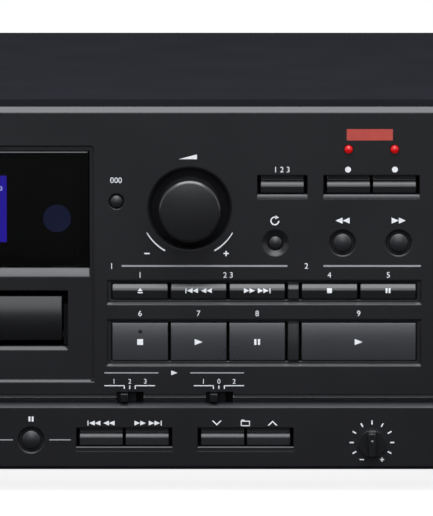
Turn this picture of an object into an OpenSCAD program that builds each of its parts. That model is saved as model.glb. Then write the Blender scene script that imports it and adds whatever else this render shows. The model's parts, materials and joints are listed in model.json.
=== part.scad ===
// Full-width deck that plays discs, cassettes and USB sticks.
// Millimetres. +X is right, +Y runs to the rear, +Z is up. Origin under the middle, on the floor.

/* [Cabinet] */
// Width of the front panel
overall_w = 435; // [425:1:450]
// Height of the front panel
panel_h = 136; // [134:1:145]
// Height of the feet
foot_h = 9; // [6:0.5:14]
// Depth of the front panel moulding
panel_d = 26; // [26:1:32]
// Depth of the steel case behind the panel
case_d = 244; // [235:1:280]
// How far the level knob stands out of the panel
knob_out = 12; // [9:0.5:16]
// How far the rear sockets stand out
socket_out = 8; // [6:0.5:10]
// Wall of the panel moulding
panel_wall = 2.6; // [2.2:0.1:3]
// Thickness of the sheet steel
sheet = 1.2; // [0.8:0.1:1.5]
// Step from the panel edge in to the cover
cover_step = 2; // [2:0.5:4]
// Bend radius of the cover's folds
cover_bend = 2.5; // [1.5:0.5:4]
// Bevel along the top edge of the panel
top_bevel = 2; // [1:0.25:3]
// Radius of the feet
foot_r = 10.5; // [8:0.5:12]
// Distance of the rear feet from the back; the front feet stand at half of it
foot_inset = 36; // [28:1:60]

/* [Lower strip] */
// How far the strip stands in front of the panel
strip_out = 5; // [4:0.5:6]
// Height of the strip face
strip_h = 22.9; // [22:0.1:23.5]
// Rise of the sloped ledge above the strip face
slope_h = 2.3; // [1.5:0.1:2.4]
// Height of the shadow groove above the ledge
groove_h = 1; // [0.6:0.1:1.2]
// Depth of the shadow groove
groove_d = 1.2; // [0.6:0.1:1.4]
// How far the bead above the groove stands out
bead = 0.5; // [0.2:0.1:0.8]
// Height of the strip's round buttons above the panel edge
strip_row = 11.3; // [10:0.1:12]

/* [Layout across the front] */
// Gap from the panel edge to the cassette door
left_gap = 10.5; // [8:0.1:12]
// Gap from the cassette door to the recess
bay_gap = 9; // [7:0.1:10]
// Gap from the recess to the key rows
row_gap = 6.8; // [6:0.1:8]
// Gap from the key rows to the panel edge
right_gap = 31.1; // [25:0.1:35]

/* [Display and tray] */
// Width of the recess
recess_w = 152; // [150:0.5:154]
// Lower edge of the recess above the panel edge
recess_low = 33.1; // [33:0.1:34]
// Height of the recess
recess_h = 88.3; // [87:0.1:90]
// Depth of the shallow recess
recess_d = 0.7; // [0.4:0.1:1]
// Lower edge of the window above the panel edge
window_low = 75.6; // [75:0.1:76]
// Height of the window
window_h = 43.6; // [42:0.1:44]
// Thickness of the window
window_t = 2; // [1.5:0.1:3]
// Depth of the window face behind the panel face
window_set = 3; // [2.8:0.1:3.2]
// Height of the curved ledge under the window
ledge_h = 3.4; // [2.5:0.1:3.4]
// Width of the display glass
glass_w = 86.6; // [70:0.1:100]
// Height of the display glass
glass_h = 25; // [18:0.1:30]
// Lower edge of the display glass above the panel edge
glass_low = 85.2; // [82:0.1:86]
// Width of the tray fascia
fascia_w = 128; // [126:0.5:129]
// Height of the tray fascia
fascia_h = 16.8; // [15:0.1:17]
// Lower edge of the tray fascia above the panel edge
fascia_low = 47.9; // [47.5:0.1:48.5]
// Gap round the tray fascia
fascia_gap = 2.2; // [1.5:0.1:2.6]
// Radius of the disc well
disc_r = 61; // [60.5:0.1:61.5]
// How far the tray comes out
tray_travel = 135; // [120:1:138]

/* [Cassette bay] */
// Width of the cassette door
door_w = 112; // [111:0.5:113]
// Lower edge of the door above the panel edge
door_low = 32.5; // [32:0.1:33]
// Height of the door
door_h = 86.9; // [86:0.1:88]
// Thickness of the door's front
door_t = 4; // [3.5:0.1:4.5]
// Radius of the door's rounded lower edge
door_round = 4.5; // [4:0.1:4.8]
// Width of the door on each side of the cassette
cassette_side = 5.8; // [5.5:0.1:6]
// Thickness of the cassette
cassette_t = 12; // [11.5:0.1:12.2]
// Height of the cassette
cassette_h = 63.8; // [63:0.1:64.5]
// Distance between the two reel hubs
hub_pitch = 42.5; // [42:0.1:43]

/* [Keys and buttons] */
// Width of a key
key_w = 20.85; // [20:0.05:21]
// Gap between keys
key_gap = 1.05; // [0.8:0.05:1.2]
// Width of the fixed divider between the two groups
divider_w = 4.1; // [3:0.1:5]
// Height of the narrow keys
narrow_h = 5.8; // [5:0.1:6]
// Lower edge of the narrow keys above the panel edge
narrow_low = 63.8; // [63:0.1:64.5]
// Height of the tall keys
tall_h = 14.2; // [12:0.1:14.5]
// Lower edge of the tall keys above the panel edge
tall_low = 40.6; // [40:0.1:41.5]
// Radius of the curved face of the tall keys
tall_curve = 60; // [45:1:90]
// Width of a bar button
bar_w = 16.3; // [15:0.1:16.5]
// Height of a bar button
bar_h = 4.6; // [4:0.1:5]
// Lower edge of the bar buttons above the panel edge
bar_low = 103.6; // [103:0.1:104.5]
// Middle of the single bar button, from the left edge of the key rows
source_at = 63.6; // [63:0.1:64.5]
// Middle of the pair of record buttons, from the left edge of the key rows
record_at = 96.9; // [96:0.1:98]
// Height of the record lamps above the panel edge
lamp_row = 120.2; // [119:0.1:122]
// Radius of a record lamp
lamp_r = 1.6; // [1.2:0.1:2]
// Height of the round button row above the panel edge
round_row = 85; // [84:0.1:86]
// Radius of the rewind and forward buttons
round_r = 3.35; // [3:0.05:3.6]
// Radius of the repeat button
repeat_r = 2.4; // [2:0.05:3]
// Radius of the dish round a button
dish_r = 5.05; // [4.6:0.05:5.4]
// Middle of the repeat button, from the left edge of the key rows
repeat_at = 61; // [60:0.1:62]
// Middle of the rewind button, from the left edge of the key rows
rewind_at = 86.1; // [85:0.1:87]
// Middle of the forward button, from the left edge of the key rows
forward_at = 107.1; // [106:0.1:108]
// Middle of the counter reset button, from the left edge of the key rows
counter_at = 1.6; // [1:0.1:3]
// Height of the counter reset button above the panel edge
counter_row = 100.6; // [99:0.1:102]
// Radius of the counter reset button
counter_r = 2.3; // [1.8:0.05:2.6]
// How far a button or key moves
key_travel = 0.8; // [0.4:0.1:0.9]
// How far a key stands in front of the panel
key_proud = 0.3; // [0.2:0.1:0.6]
// How far a bar button lies behind the panel face
bar_set = 0.9; // [0.6:0.1:1]
// Depth of the straight well round a strip, rewind or forward button
well_deep = 1.8; // [1.4:0.1:1.8]

/* [Knobs and switches] */
// Middle of the level knob, from the left edge of the key rows
level_at = 29; // [28:0.1:30]
// Height of the level knob above the panel edge
level_row = 98.1; // [97:0.1:99]
// Radius of the level knob
level_r = 11.8; // [10:0.1:12.5]
// Radius of the well round the level knob
level_dish = 14.9; // [14:0.1:15.4]
// Depth of the well round the level knob
level_floor = 5; // [4:0.1:5.5]
// Middle of the pitch knob, from the left edge of the key rows
pitch_at = 97.2; // [95:0.1:99]
// Height of the pitch knob above the panel edge
pitch_row = 10.1; // [9.5:0.1:11]
// Radius of the pitch knob
pitch_r = 5.05; // [4:0.05:5.5]
// How far the two small knobs stand out of the strip
small_knob_out = 6.4; // [5:0.1:6.8]
// Middle of the phones level knob, from the middle of the door
phones_knob_at = 35; // [33:0.5:37]
// Rest place of the source switch's slider, from the left edge of the key rows
source_switch_at = 4.5; // [4:0.1:5]
// Rest place of the mode switch's slider, from the left edge of the key rows
mode_switch_at = 38; // [37:0.1:39]
// Distance between two stops of a slide switch
switch_step = 2.1; // [1.8:0.1:2.2]
// Width of a slider
slider_w = 2.7; // [2:0.1:3]
// Middle of the strip's stop button, from the middle of the recess
usb_stop_at = 4.4; // [3:0.1:6]
// Distance between the strip's round buttons
usb_pitch = 24; // [22:0.5:24]
// Middle of the strip's skip pair, from the left edge of the key rows
skip_at = 4.45; // [4:0.05:5]
// Middle of the strip's folder pair, from the left edge of the key rows
folder_at = 49.9; // [49:0.1:51]
// Middle of the eject button, from the middle of the door
eject_at = -21; // [-23:0.5:-19]
// Middle of the power button, from the middle of the door
power_at = -48; // [-49:0.5:-47]
// Radius of the power button
power_r = 6; // [5:0.1:6.5]
// How far the power button moves
power_travel = 2.5; // [1.5:0.1:3]
// Middle of the phones socket, from the middle of the door
phones_at = 10; // [8:0.5:12]
// Radius of the phones socket's bore
phones_bore = 3.25; // [3.2:0.05:3.4]
// Middle of the USB socket, from the middle of the recess
usb_at = -40; // [-44:0.5:-36]

/* [Fits] */
// Gap round a button or between moving pieces
fit = 0.3; // [0.2:0.05:0.4]
// Radial play of a shaft in its bore
play = 0.05; // [0.02:0.01:0.1]

/* [Hidden] */
$fn = 64;
eps = 0.01;

// Colours
panel_black = "#2c2d30";
cover_black = "#2b2a2f";
key_black = "#3a3b3f";
knob_black = "#313236";
inner_black = "#1c1c1f";
window_black = "#111114";
zinc = "#b4b7ba";
steel = "#8d9095";
board_green = "#2f5d3a";
lamp_red = "#d01418";
rubber_black = "#202021";
copper = "#a5622f";

// Main planes, with the whole object centred on y = 0
total_d = knob_out + panel_d + case_d + socket_out;
face_y = knob_out - total_d / 2;
strip_y = face_y - strip_out;
inner_y = face_y + panel_wall;
back_y = face_y + panel_d;
rear_y = back_y + case_d;
top_z = foot_h + panel_h;
cover_x = overall_w / 2 - cover_step;
cover_drop = 0.4;
cover_z = top_z - cover_drop;
base_x = cover_x - sheet - fit;
floor_z = foot_h + sheet;

// Places across the front. The door, the recess and the key rows keep their widths. Each gap keeps
// the least that the walls and flanges beside it need, and the four share the rest of the width.
bay_wall = 2;
frame_rim = 1.5;
pocket_rim = 2;
flange_lip = 1.1;
left_least = bay_wall + fit + 0.1;
bay_least = pocket_rim + fit + 0.5;
row_least = pocket_rim + counter_r + flange_lip + fit - counter_at + 0.1;
right_least = panel_wall + frame_rim + 0.1;
least = left_least + bay_least + row_least + right_least;
keys_w = 5 * (key_w + key_gap) + divider_w;
full_gaps = left_gap + bay_gap + row_gap + right_gap;
spread = (overall_w - door_w - recess_w - keys_w - least) / (full_gaps - least);
function gap_of(full, small) = small + (full - small) * spread;
bay_x = gap_of(left_gap, left_least) + (door_w - overall_w) / 2;
recess_x = bay_x + door_w / 2 + gap_of(bay_gap, bay_least) + recess_w / 2;
keys_x = recess_x + recess_w / 2 + gap_of(row_gap, row_least);

power_x = bay_x + power_at;
eject_x = bay_x + eject_at;
phones_x = bay_x + phones_at;
phones_knob_x = bay_x + phones_knob_at;
usb_x = recess_x + usb_at;
usb_stop_x = recess_x + usb_stop_at;
skip_x = keys_x + skip_at;
folder_x = keys_x + folder_at;
pitch_x = keys_x + pitch_at;
source_switch_x = keys_x + source_switch_at;
mode_switch_x = keys_x + mode_switch_at;
counter_x = keys_x + counter_at;
level_x = keys_x + level_at;
source_x = keys_x + source_at;
record_x = keys_x + record_at;
repeat_x = keys_x + repeat_at;
rewind_x = keys_x + rewind_at;
forward_x = keys_x + forward_at;
cassette_w = door_w - 2 * cassette_side;

// Control boards: front face, thickness, and the switches on them
board_in = 17;
board_y = face_y + board_in;
board_t = 1.6;
switch_h = 3.4;
plunger_h = 0.8;
plunger_y = board_y - switch_h - plunger_h;
stem_tip = plunger_y - key_travel - 0.4;
stem_r = 1.3;
flange_t = 1.2;
seat_gap = 0.15;

// Height above the lower edge of the panel
function up(h) = foot_h + h;

// Points of an arc about (cx, cy), by angle
function arc(cx, cy, r, a0, a1, n) = [
  for (i = [0 : n]) let (a = a0 + (a1 - a0) * i / n) [cx + r * cos(a), cy + r * sin(a)]
];

// A box between two corners, given as spans
module span(x, y, z)
  translate([x[0], y[0], z[0]]) cube([x[1] - x[0], y[1] - y[0], z[1] - z[0]]);

// A profile in Y and Z, swept along X about xc
module along_x(xc, w)
  translate([xc, 0, 0]) rotate([90, 0, 90]) linear_extrude(w, center = true) children();

// An outline in X and Z, swept from y0 towards the rear
module towards_rear(y0, d)
  translate([0, y0 + d, 0]) rotate([90, 0, 0]) linear_extrude(d) children();

// Turns a piece that is built upwards so that it runs to the rear from y0
module turned(x, z, y0)
  translate([x, y0, z]) rotate([-90, 0, 0]) children();

// A rectangle with rounded corners, as squares and circles
module soft_rect(x, z, r) {
  translate([x[0] + r, z[0]]) square([x[1] - x[0] - 2 * r, z[1] - z[0]]);
  translate([x[0], z[0] + r]) square([x[1] - x[0], z[1] - z[0] - 2 * r]);
  for (cx = [x[0] + r, x[1] - r], cz = [z[0] + r, z[1] - r])
    translate([cx, cz]) circle(r);
}

// Front panel

panel_edge = 1.2;
panel_profile = [
  [back_y, foot_h], [strip_y + panel_edge, foot_h], [strip_y, foot_h + panel_edge],
  [strip_y, up(strip_h)], [face_y, up(strip_h + slope_h)],
  [face_y + groove_d, up(strip_h + slope_h)],
  [face_y + groove_d, up(strip_h + slope_h + groove_h)],
  [face_y - bead, up(strip_h + slope_h + groove_h)],
  [face_y - bead, up(strip_h + slope_h + groove_h + bead)],
  [face_y, up(strip_h + slope_h + groove_h + 2 * bead)],
  [face_y, top_z - top_bevel], [face_y + top_bevel, top_z], [back_y, top_z]
];
cavity_drop = 1.2;
cavity_profile = [
  [back_y + 1, foot_h + panel_wall], [strip_y + panel_wall, foot_h + panel_wall],
  [strip_y + panel_wall, up(strip_h) - cavity_drop],
  [inner_y, up(strip_h + slope_h) - cavity_drop],
  [inner_y, top_z - panel_wall - top_bevel / 2],
  [inner_y + top_bevel / 2, top_z - panel_wall], [back_y + 1, top_z - panel_wall]
];

recess_x0 = recess_x - recess_w / 2;
recess_x1 = recess_x + recess_w / 2;
recess_z0 = up(recess_low);
recess_z1 = up(recess_low + recess_h);
seat_y = face_y + window_set + window_t;
pocket_y = seat_y + panel_wall;
window_rim = 1.9;
window_x0 = recess_x0 + window_rim;
window_x1 = recess_x1 - window_rim;
window_z0 = up(window_low);
window_z1 = up(window_low + window_h);
window_seat = 3.4;
ledge_r = 10;
ledge_slope = 22;
bezel_y = face_y + recess_d;
slot_x0 = recess_x - fascia_w / 2 - fascia_gap;
slot_x1 = recess_x + fascia_w / 2 + fascia_gap;
slot_z0 = up(fascia_low - fascia_gap) + 0.1;
slot_z1 = up(fascia_low + fascia_h + fascia_gap);
slot_bevel = 1.3;

// Thick frame behind the recess, which carries the window
module recess_frame()
  span([recess_x0 - pocket_rim, recess_x1 + pocket_rim], [inner_y - eps, pocket_y],
       [recess_z0 - pocket_rim, recess_z1 + pocket_rim]);

// Everything that is cut out for the window and for the tray
module recess_cuts() {
  corner = 1.5;
  // Shallow recess, with sides and a lower edge that are bevelled so that they catch the light
  intersection() {
    towards_rear(face_y - 1, 1 + recess_d)
      soft_rect([recess_x0, recess_x1], [recess_z0, recess_z1], corner);
    translate([0, 0, recess_z0]) linear_extrude(recess_h)
      polygon([[recess_x0 - recess_d, face_y - recess_d], [recess_x1 + recess_d, face_y - recess_d],
               [recess_x1 - recess_d, bezel_y], [recess_x0 + recess_d, bezel_y]]);
  }
  along_x(recess_x, recess_w)
    polygon([[face_y - eps, recess_z0 - recess_d], [face_y - eps, recess_z0 + eps],
             [bezel_y, recess_z0 + eps], [bezel_y, recess_z0]]);
  // Seat of the window, down to the curved ledge
  span([window_x0 - fit, window_x1 + fit], [face_y - 1, seat_y], [window_z0 - fit, window_z1 + fit]);
  along_x(recess_x, window_x1 - window_x0 + 2 * fit) difference() {
    translate([face_y - 1, window_z0 - ledge_h]) square([1 + window_set, ledge_h + eps]);
    translate([bezel_y + ledge_r * cos(ledge_slope), window_z0 - ledge_h - ledge_r * sin(ledge_slope)])
      circle(ledge_r, $fn = 256);
  }
  // Opening behind the window
  span([window_x0 + window_seat, window_x1 - window_seat], [seat_y - 1, pocket_y + 1],
       [window_z0 + window_seat, window_z1 - window_seat]);
  // Tray slot and the mitred bevel under it
  span([slot_x0, slot_x1], [face_y - 1, pocket_y + 1], [slot_z0, slot_z1]);
  intersection() {
    along_x(recess_x, recess_w)
      polygon([[bezel_y - eps, slot_z0 - slot_bevel], [bezel_y - eps, slot_z0 + eps],
               [bezel_y + slot_bevel, slot_z0 + eps], [bezel_y + slot_bevel, slot_z0]]);
    translate([0, 0, slot_z0 - 2 * slot_bevel]) linear_extrude(3 * slot_bevel)
      polygon([[slot_x0, bezel_y - eps], [slot_x1, bezel_y - eps],
               [slot_x1 - slot_bevel, bezel_y + slot_bevel], [slot_x0 + slot_bevel, bezel_y + slot_bevel]]);
  }
}

bay_x0 = bay_x - door_w / 2 - fit;
bay_x1 = bay_x + door_w / 2 + fit;
bay_z0 = up(door_low) - fit;
bay_z1 = up(door_low + door_h) + fit;
bay_depth = 20;
hinge_y = face_y - 0.5 + door_round;
hinge_z = up(door_low) + door_round;
hinge_r = 1.5;

// Walls beside the cassette bay that carry the door's pins
module bay_walls()
  for (x = [bay_x0 - bay_wall, bay_x1])
    span([x, x + bay_wall], [inner_y - eps, face_y + bay_depth], [bay_z0 - 4, bay_z1 + 3]);

module bay_cuts() {
  span([bay_x0, bay_x1], [face_y - 1, inner_y + 1], [bay_z0, bay_z1]);
  translate([bay_x0 - bay_wall - 1, hinge_y, hinge_z]) rotate([0, 90, 0])
    cylinder(r = hinge_r + play, h = bay_x1 - bay_x0 + 2 * bay_wall + 2);
}

key_pitch = key_w + key_gap;
divider_x = keys_x + 3 * key_pitch;
second_x = divider_x + divider_w + key_gap;
keys_end = second_x + 2 * key_w + key_gap;
frame_d = 0.6;

// Shallow frame of a key row, bevelled all round, with the slots that the keys come through
module key_row_cut(low, h) {
  z0 = up(low) - frame_rim;
  z1 = up(low + h) + frame_rim / 2;
  x0 = keys_x - frame_rim;
  x1 = keys_end + frame_rim;
  out = 2 * frame_d;
  intersection() {
    along_x((x0 + x1) / 2, x1 - x0 + 2 * out)
      polygon([[face_y - frame_d, z0 - out], [face_y + frame_d, z0],
               [face_y + frame_d, z1], [face_y - frame_d, z1 + out]]);
    translate([0, 0, z0 - out]) linear_extrude(z1 - z0 + 2 * out)
      polygon([[x0 - out, face_y - frame_d], [x1 + out, face_y - frame_d],
               [x1, face_y + frame_d], [x0, face_y + frame_d]]);
  }
  for (x = [[keys_x - fit, divider_x], [divider_x + divider_w, keys_end + fit]])
    span(x, [face_y - 1, inner_y + 1], [up(low) - fit, up(low + h) + fit]);
}

slot_shadow = 2.2;
slot_side = 1.2;
sill_h = 1.7;

// Slot of a bar button or a pair of them, with a sloping sill under it
module bar_cut(xc, w, low, y) {
  z0 = up(low) - fit;
  span([xc - w / 2 - slot_side, xc + w / 2 + slot_side], [y - 1, y + panel_wall + 1],
       [z0, up(low + bar_h) + slot_shadow]);
  along_x(xc, w + 2 * slot_side)
    polygon([[y - eps, z0 - sill_h], [y - eps, z0 + eps], [y + bar_set, z0 + eps], [y + bar_set, z0]]);
}

dish_d = 1.2;

// Hole of a round button with the dish in front of it
module round_cut(x, low, r, dish, y) {
  turned(x, up(low), y - 1) cylinder(r = r + fit, h = panel_wall + 2);
  turned(x, up(low), y - eps) cylinder(r1 = dish, r2 = r + fit, h = dish_d);
}

well_rim = 0.4;

// Hole of a round button at the foot of a straight well with a thin bevelled rim
module well_cut(x, low, y) {
  turned(x, up(low), y - 1) cylinder(r = round_r + fit, h = panel_wall + 2);
  turned(x, up(low), y - eps) cylinder(r = dish_r - well_rim, h = well_deep);
  turned(x, up(low), y - eps) cylinder(r1 = dish_r, r2 = dish_r - well_rim, h = well_rim);
}

pair_gap = 0.9;
pair_w = 2 * bar_w + pair_gap;
strip_bar = strip_row - bar_h / 2;
usb_play_x = usb_stop_x + usb_pitch;
usb_pause_x = usb_play_x + usb_pitch;
shaft_r = 3;
level_rim = 0.9;
level_wall = 1.6;
switch_z0 = up(strip_h + slope_h) - 0.5;
switch_z1 = up(strip_h + slope_h) + 3.4;
switch_side = 1.6;
switch_travel = 2 * switch_step;
usb_w = 13.1;
usb_h = 5.7;
phones_ring = 6.4;
phones_neck = 5;

module control_cuts() {
  for (low_h = [[narrow_low, narrow_h], [tall_low, tall_h]]) key_row_cut(low_h[0], low_h[1]);
  bar_cut(source_x, bar_w, bar_low, face_y);
  bar_cut(record_x, pair_w, bar_low, face_y);
  for (x = [skip_x, folder_x]) bar_cut(x, pair_w, strip_bar, strip_y);
  bar_cut(eject_x, bar_w, strip_bar, strip_y);
  round_cut(repeat_x, round_row, repeat_r, dish_r, face_y);
  for (x = [rewind_x, forward_x]) well_cut(x, round_row, face_y);
  round_cut(counter_x, counter_row, counter_r, counter_r + 0.6, face_y);
  for (x = [usb_stop_x, usb_play_x, usb_pause_x]) well_cut(x, strip_row, strip_y);
  round_cut(power_x, strip_row, power_r, power_r + 1, strip_y);
  for (x = [record_x - lamp_pitch / 2, record_x + lamp_pitch / 2])
    turned(x, up(lamp_row), face_y - 1) cylinder(r = lamp_r + play, h = panel_wall + 2);
  // Well of the level knob and its thin rim
  turned(level_x, up(level_row), face_y - eps) {
    cylinder(r1 = level_dish + level_rim, r2 = level_dish, h = level_rim);
    cylinder(r = level_dish, h = level_floor);
    cylinder(r = shaft_r + fit, h = level_floor + level_wall + 1);
  }
  turned(pitch_x, up(pitch_row), strip_y - 1) cylinder(r = shaft_r + fit, h = panel_wall + 2);
  turned(phones_knob_x, up(strip_row), strip_y - 1) cylinder(r = shaft_r + fit, h = panel_wall + 2);
  for (x = [source_switch_x, mode_switch_x])
    span([x - slider_w / 2 - switch_side, x + slider_w / 2 + switch_travel + switch_side],
         [strip_y - 1, inner_y + 1], [switch_z0, switch_z1]);
  turned(phones_x, up(strip_row), strip_y - 1) cylinder(r = phones_neck + play, h = panel_wall + 2);
  span([usb_x - usb_w / 2 - fit, usb_x + usb_w / 2 + fit], [strip_y - 1, strip_y + panel_wall + 1],
       [up(strip_row) - usb_h / 2 - fit, up(strip_row) + usb_h / 2 + fit]);
}

lamp_pitch = bar_w + pair_gap;
post_r = 2.6;
board_edge = 4;
board_right = overall_w / 2 - panel_wall - board_edge;
post_edge = 3.2;
// Posts for the control boards, as [x, height above the panel edge]
post_left = keys_x - post_edge;
post_right = board_right - post_edge;
post_high = 127;
post_between = 59.3;
post_low = 34;
strip_post_high = 12;
strip_post_low = 6;
panel_posts = [
  [post_left, post_high], [post_left, post_low], [(source_x + record_x) / 2, post_high],
  [post_right, post_high], [post_right, post_between]
];
strip_posts = [
  [(power_x + eject_x) / 2, strip_post_low], [bay_x + door_w / 2 - 5, strip_post_high],
  [(usb_x + usb_stop_x) / 2, strip_post_high], [(skip_x + folder_x) / 2, strip_post_low],
  [(folder_x + pitch_x) / 2, strip_post_low], [post_right, strip_post_high]
];

module board_posts() {
  for (p = panel_posts)
    turned(p[0], up(p[1]), inner_y - eps) cylinder(r = post_r, h = board_y - inner_y + eps);
  for (p = strip_posts)
    turned(p[0], up(p[1]), strip_y + panel_wall - eps)
      cylinder(r = post_r, h = board_y - strip_y - panel_wall + eps);
}

// Cup behind the panel that holds the level knob's well
module level_cup()
  turned(level_x, up(level_row), inner_y - eps)
    cylinder(r = level_dish + level_wall, h = level_floor + level_wall - panel_wall + eps);

// Fixed dividers between the two groups of keys, shaped like the keys beside them
module dividers() {
  x = divider_x + divider_w / 2;
  sloped_face(x, divider_w, narrow_low, narrow_h, face_y - key_proud, inner_y, narrow_slope);
  tall_face(x, divider_w, inner_y);
}

module front_panel() color(panel_black) {
  difference() {
    union() {
      difference() {
        along_x(0, overall_w) polygon(panel_profile);
        along_x(0, overall_w - 2 * panel_wall) polygon(cavity_profile);
      }
      recess_frame();
      bay_walls();
      board_posts();
      level_cup();
    }
    recess_cuts();
    bay_cuts();
    control_cuts();
  }
  dividers();
}

// Steel case

screw_r = 1.45;
screw_head_r = 3.4;
screw_head_h = 1.7;
side_flange_h = 30;
front_flange_h = 20;
side_screw_low = 18;
side_screw_z = up(side_screw_low);
side_screw_in = [60, 40];
side_screw_ys = [back_y + side_screw_in[0], rear_y - side_screw_in[1]];
rear_screw_inset = 9;
standoff_h = 8;
standoff_r = 3;
standoff_in = 6;
// Main board: span across and span in depth
main_left = 24;
main_right = 154;
main_d = 60;
main_back = 8;
main_x = [main_left - base_x, base_x - main_right];
main_y = [rear_y - main_back - main_d, rear_y - main_back];

module chassis_base() color(zinc) difference() {
  union() {
    span([-base_x, base_x], [back_y, rear_y - sheet], [foot_h, floor_z]);
    span([-base_x, base_x], [back_y, back_y + sheet], [foot_h, up(front_flange_h)]);
    for (x = [-base_x, base_x - sheet])
      span([x, x + sheet], [back_y, rear_y - sheet], [foot_h, up(side_flange_h)]);
    for (x = [main_x[0] + standoff_in, (main_x[0] + main_x[1]) / 2, main_x[1] - standoff_in],
         y = [main_y[0] + standoff_in, main_y[1] - standoff_in])
      translate([x, y, floor_z - eps]) cylinder(r = standoff_r, h = standoff_h + eps);
  }
  side_screw_holes();
}

module side_screw_holes()
  for (y = side_screw_ys) translate([-overall_w, y, side_screw_z]) rotate([0, 90, 0])
    cylinder(r = screw_r + play, h = 2 * overall_w);

rca_places = [46, 66, 92, 112];
rca_low = 24;
rca_xs = [for (x = rca_places) x - base_x];
rca_z = up(rca_low);
rca_r = 4.1;
rca_ring = 6;
inlet_side = 30;
inlet_low = 30;
inlet_x = base_x - inlet_side;
inlet_z = up(inlet_low);
inlet_w = 26;
inlet_h = 16;
vent_count = 12;
vent_pitch = 6;
vent_w = 2.6;
vent_h = 24;
vent_side = 144;
vent_low = 96;
vent_x = base_x - vent_side;
vent_z = up(vent_low);

module rear_panel() color(cover_black) difference() {
  towards_rear(rear_y - sheet, sheet) cover_outline(base_x, cover_z - sheet - fit, cover_bend - sheet);
  for (x = rca_xs) turned(x, rca_z, rear_y - 2 * sheet) cylinder(r = rca_ring + play, h = 3 * sheet);
  span([inlet_x - inlet_w / 2 - play, inlet_x + inlet_w / 2 + play], [rear_y - 2 * sheet, rear_y + 1],
       [inlet_z - inlet_h / 2 - play, inlet_z + inlet_h / 2 + play]);
  for (i = [0 : vent_count - 1])
    towards_rear(rear_y - 2 * sheet, 3 * sheet)
      soft_rect([vent_x + i * vent_pitch, vent_x + i * vent_pitch + vent_w], [vent_z, vent_z + vent_h],
                vent_w / 2 - eps);
  rear_screws() cylinder(r = screw_r + play, h = 6 * sheet, center = true);
}

module rear_screws()
  for (x = [-base_x + rear_screw_inset, base_x - rear_screw_inset],
       z = [foot_h + rear_screw_inset, cover_z - 2 * rear_screw_inset])
    translate([x, rear_y, z]) rotate([-90, 0, 0]) children();

// Outline of the folded cover, square at the foot and round at the folds
module cover_outline(x, z, r) {
  translate([-x, foot_h]) square([2 * x, z - foot_h - r]);
  translate([r - x, foot_h]) square([2 * (x - r), z - foot_h]);
  for (cx = [r - x, x - r]) translate([cx, z - r]) circle(r);
}

module top_cover() color(cover_black) difference() {
  towards_rear(back_y, case_d) difference() {
    cover_outline(cover_x, cover_z, cover_bend);
    translate([0, -eps]) cover_outline(cover_x - sheet, cover_z - sheet + eps, cover_bend - sheet);
  }
  side_screw_holes();
}

foot_ring = 5;
foot_hollow = 2.5;
foot_taper = 1;

module feet() color(rubber_black)
  for (x = [-1, 1] * (cover_x - foot_r - fit), y = [back_y + foot_inset / 2, rear_y - foot_inset])
    translate([x, y, 0]) rotate_extrude()
      polygon([[0, foot_hollow], [foot_r - foot_ring, foot_hollow], [foot_r - foot_ring, 0],
               [foot_r - 2 * foot_taper, 0], [foot_r - foot_taper, foot_taper],
               [foot_r, foot_h], [0, foot_h]]);

// A round-headed screw that points up, head below its seat at zero
module case_screw() {
  shank = 4;
  translate([0, 0, -screw_head_h / 2]) cylinder(r = screw_r, h = shank + screw_head_h / 2);
  rotate_extrude() difference() {
    intersection() {
      translate([0, -screw_head_h]) square([screw_head_r, screw_head_h]);
      translate([0, screw_head_r * 1.2 - screw_head_h]) circle(screw_head_r * 1.2);
    }
    translate([0, -screw_head_h - 1]) square([screw_head_r * 0.3, 1.6]);
  }
}

module case_screws() color(cover_black) {
  for (y = side_screw_ys) {
    translate([-cover_x, y, side_screw_z]) rotate([0, 90, 0]) case_screw();
    translate([cover_x, y, side_screw_z]) rotate([0, -90, 0]) case_screw();
  }
  rear_screws() mirror([0, 0, 1]) case_screw();
}

// Display

module display_window() color(window_black)
  span([window_x0, window_x1], [face_y + window_set, seat_y], [window_z0, window_z1]);

glass_gap = 0.4;
sensor_at = 62.1;
sensor_x = recess_x + sensor_at;
sensor_row = 94.2;
sensor_r = 5.2;
module_d = 7;
module_side = 10;

module display_module() color(inner_black) {
  glass_y = seat_y + glass_gap;
  x1 = sensor_x + sensor_r + 1;
  span([2 * recess_x - x1, x1], [pocket_y, pocket_y + module_d],
       [up(glass_low) - module_side / 2, up(glass_low + glass_h) + module_side / 2]);
  span([recess_x - glass_w / 2, recess_x + glass_w / 2], [glass_y, pocket_y + 1],
       [up(glass_low), up(glass_low + glass_h)]);
  turned(sensor_x, up(sensor_row), glass_y) cylinder(r = sensor_r, h = pocket_y + 1 - glass_y);
}

module record_lamps() color(lamp_red)
  for (x = [record_x - lamp_pitch / 2, record_x + lamp_pitch / 2]) {
    turned(x, up(lamp_row), face_y) cylinder(r = lamp_r, h = board_y - face_y);
    translate([x, face_y, up(lamp_row)]) sphere(lamp_r);
  }

// Boards behind the controls

function key_x(i) = keys_x + i * key_pitch + key_w / 2;
function tape_key_x(i) = second_x + i * key_pitch + key_w / 2;
wide_w = 2 * key_w + key_gap;
wide_x = second_x + wide_w / 2;
narrow_mid = narrow_low + narrow_h / 2;
tall_mid = tall_low + tall_h / 2;
bar_mid = bar_low + bar_h / 2;

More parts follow.
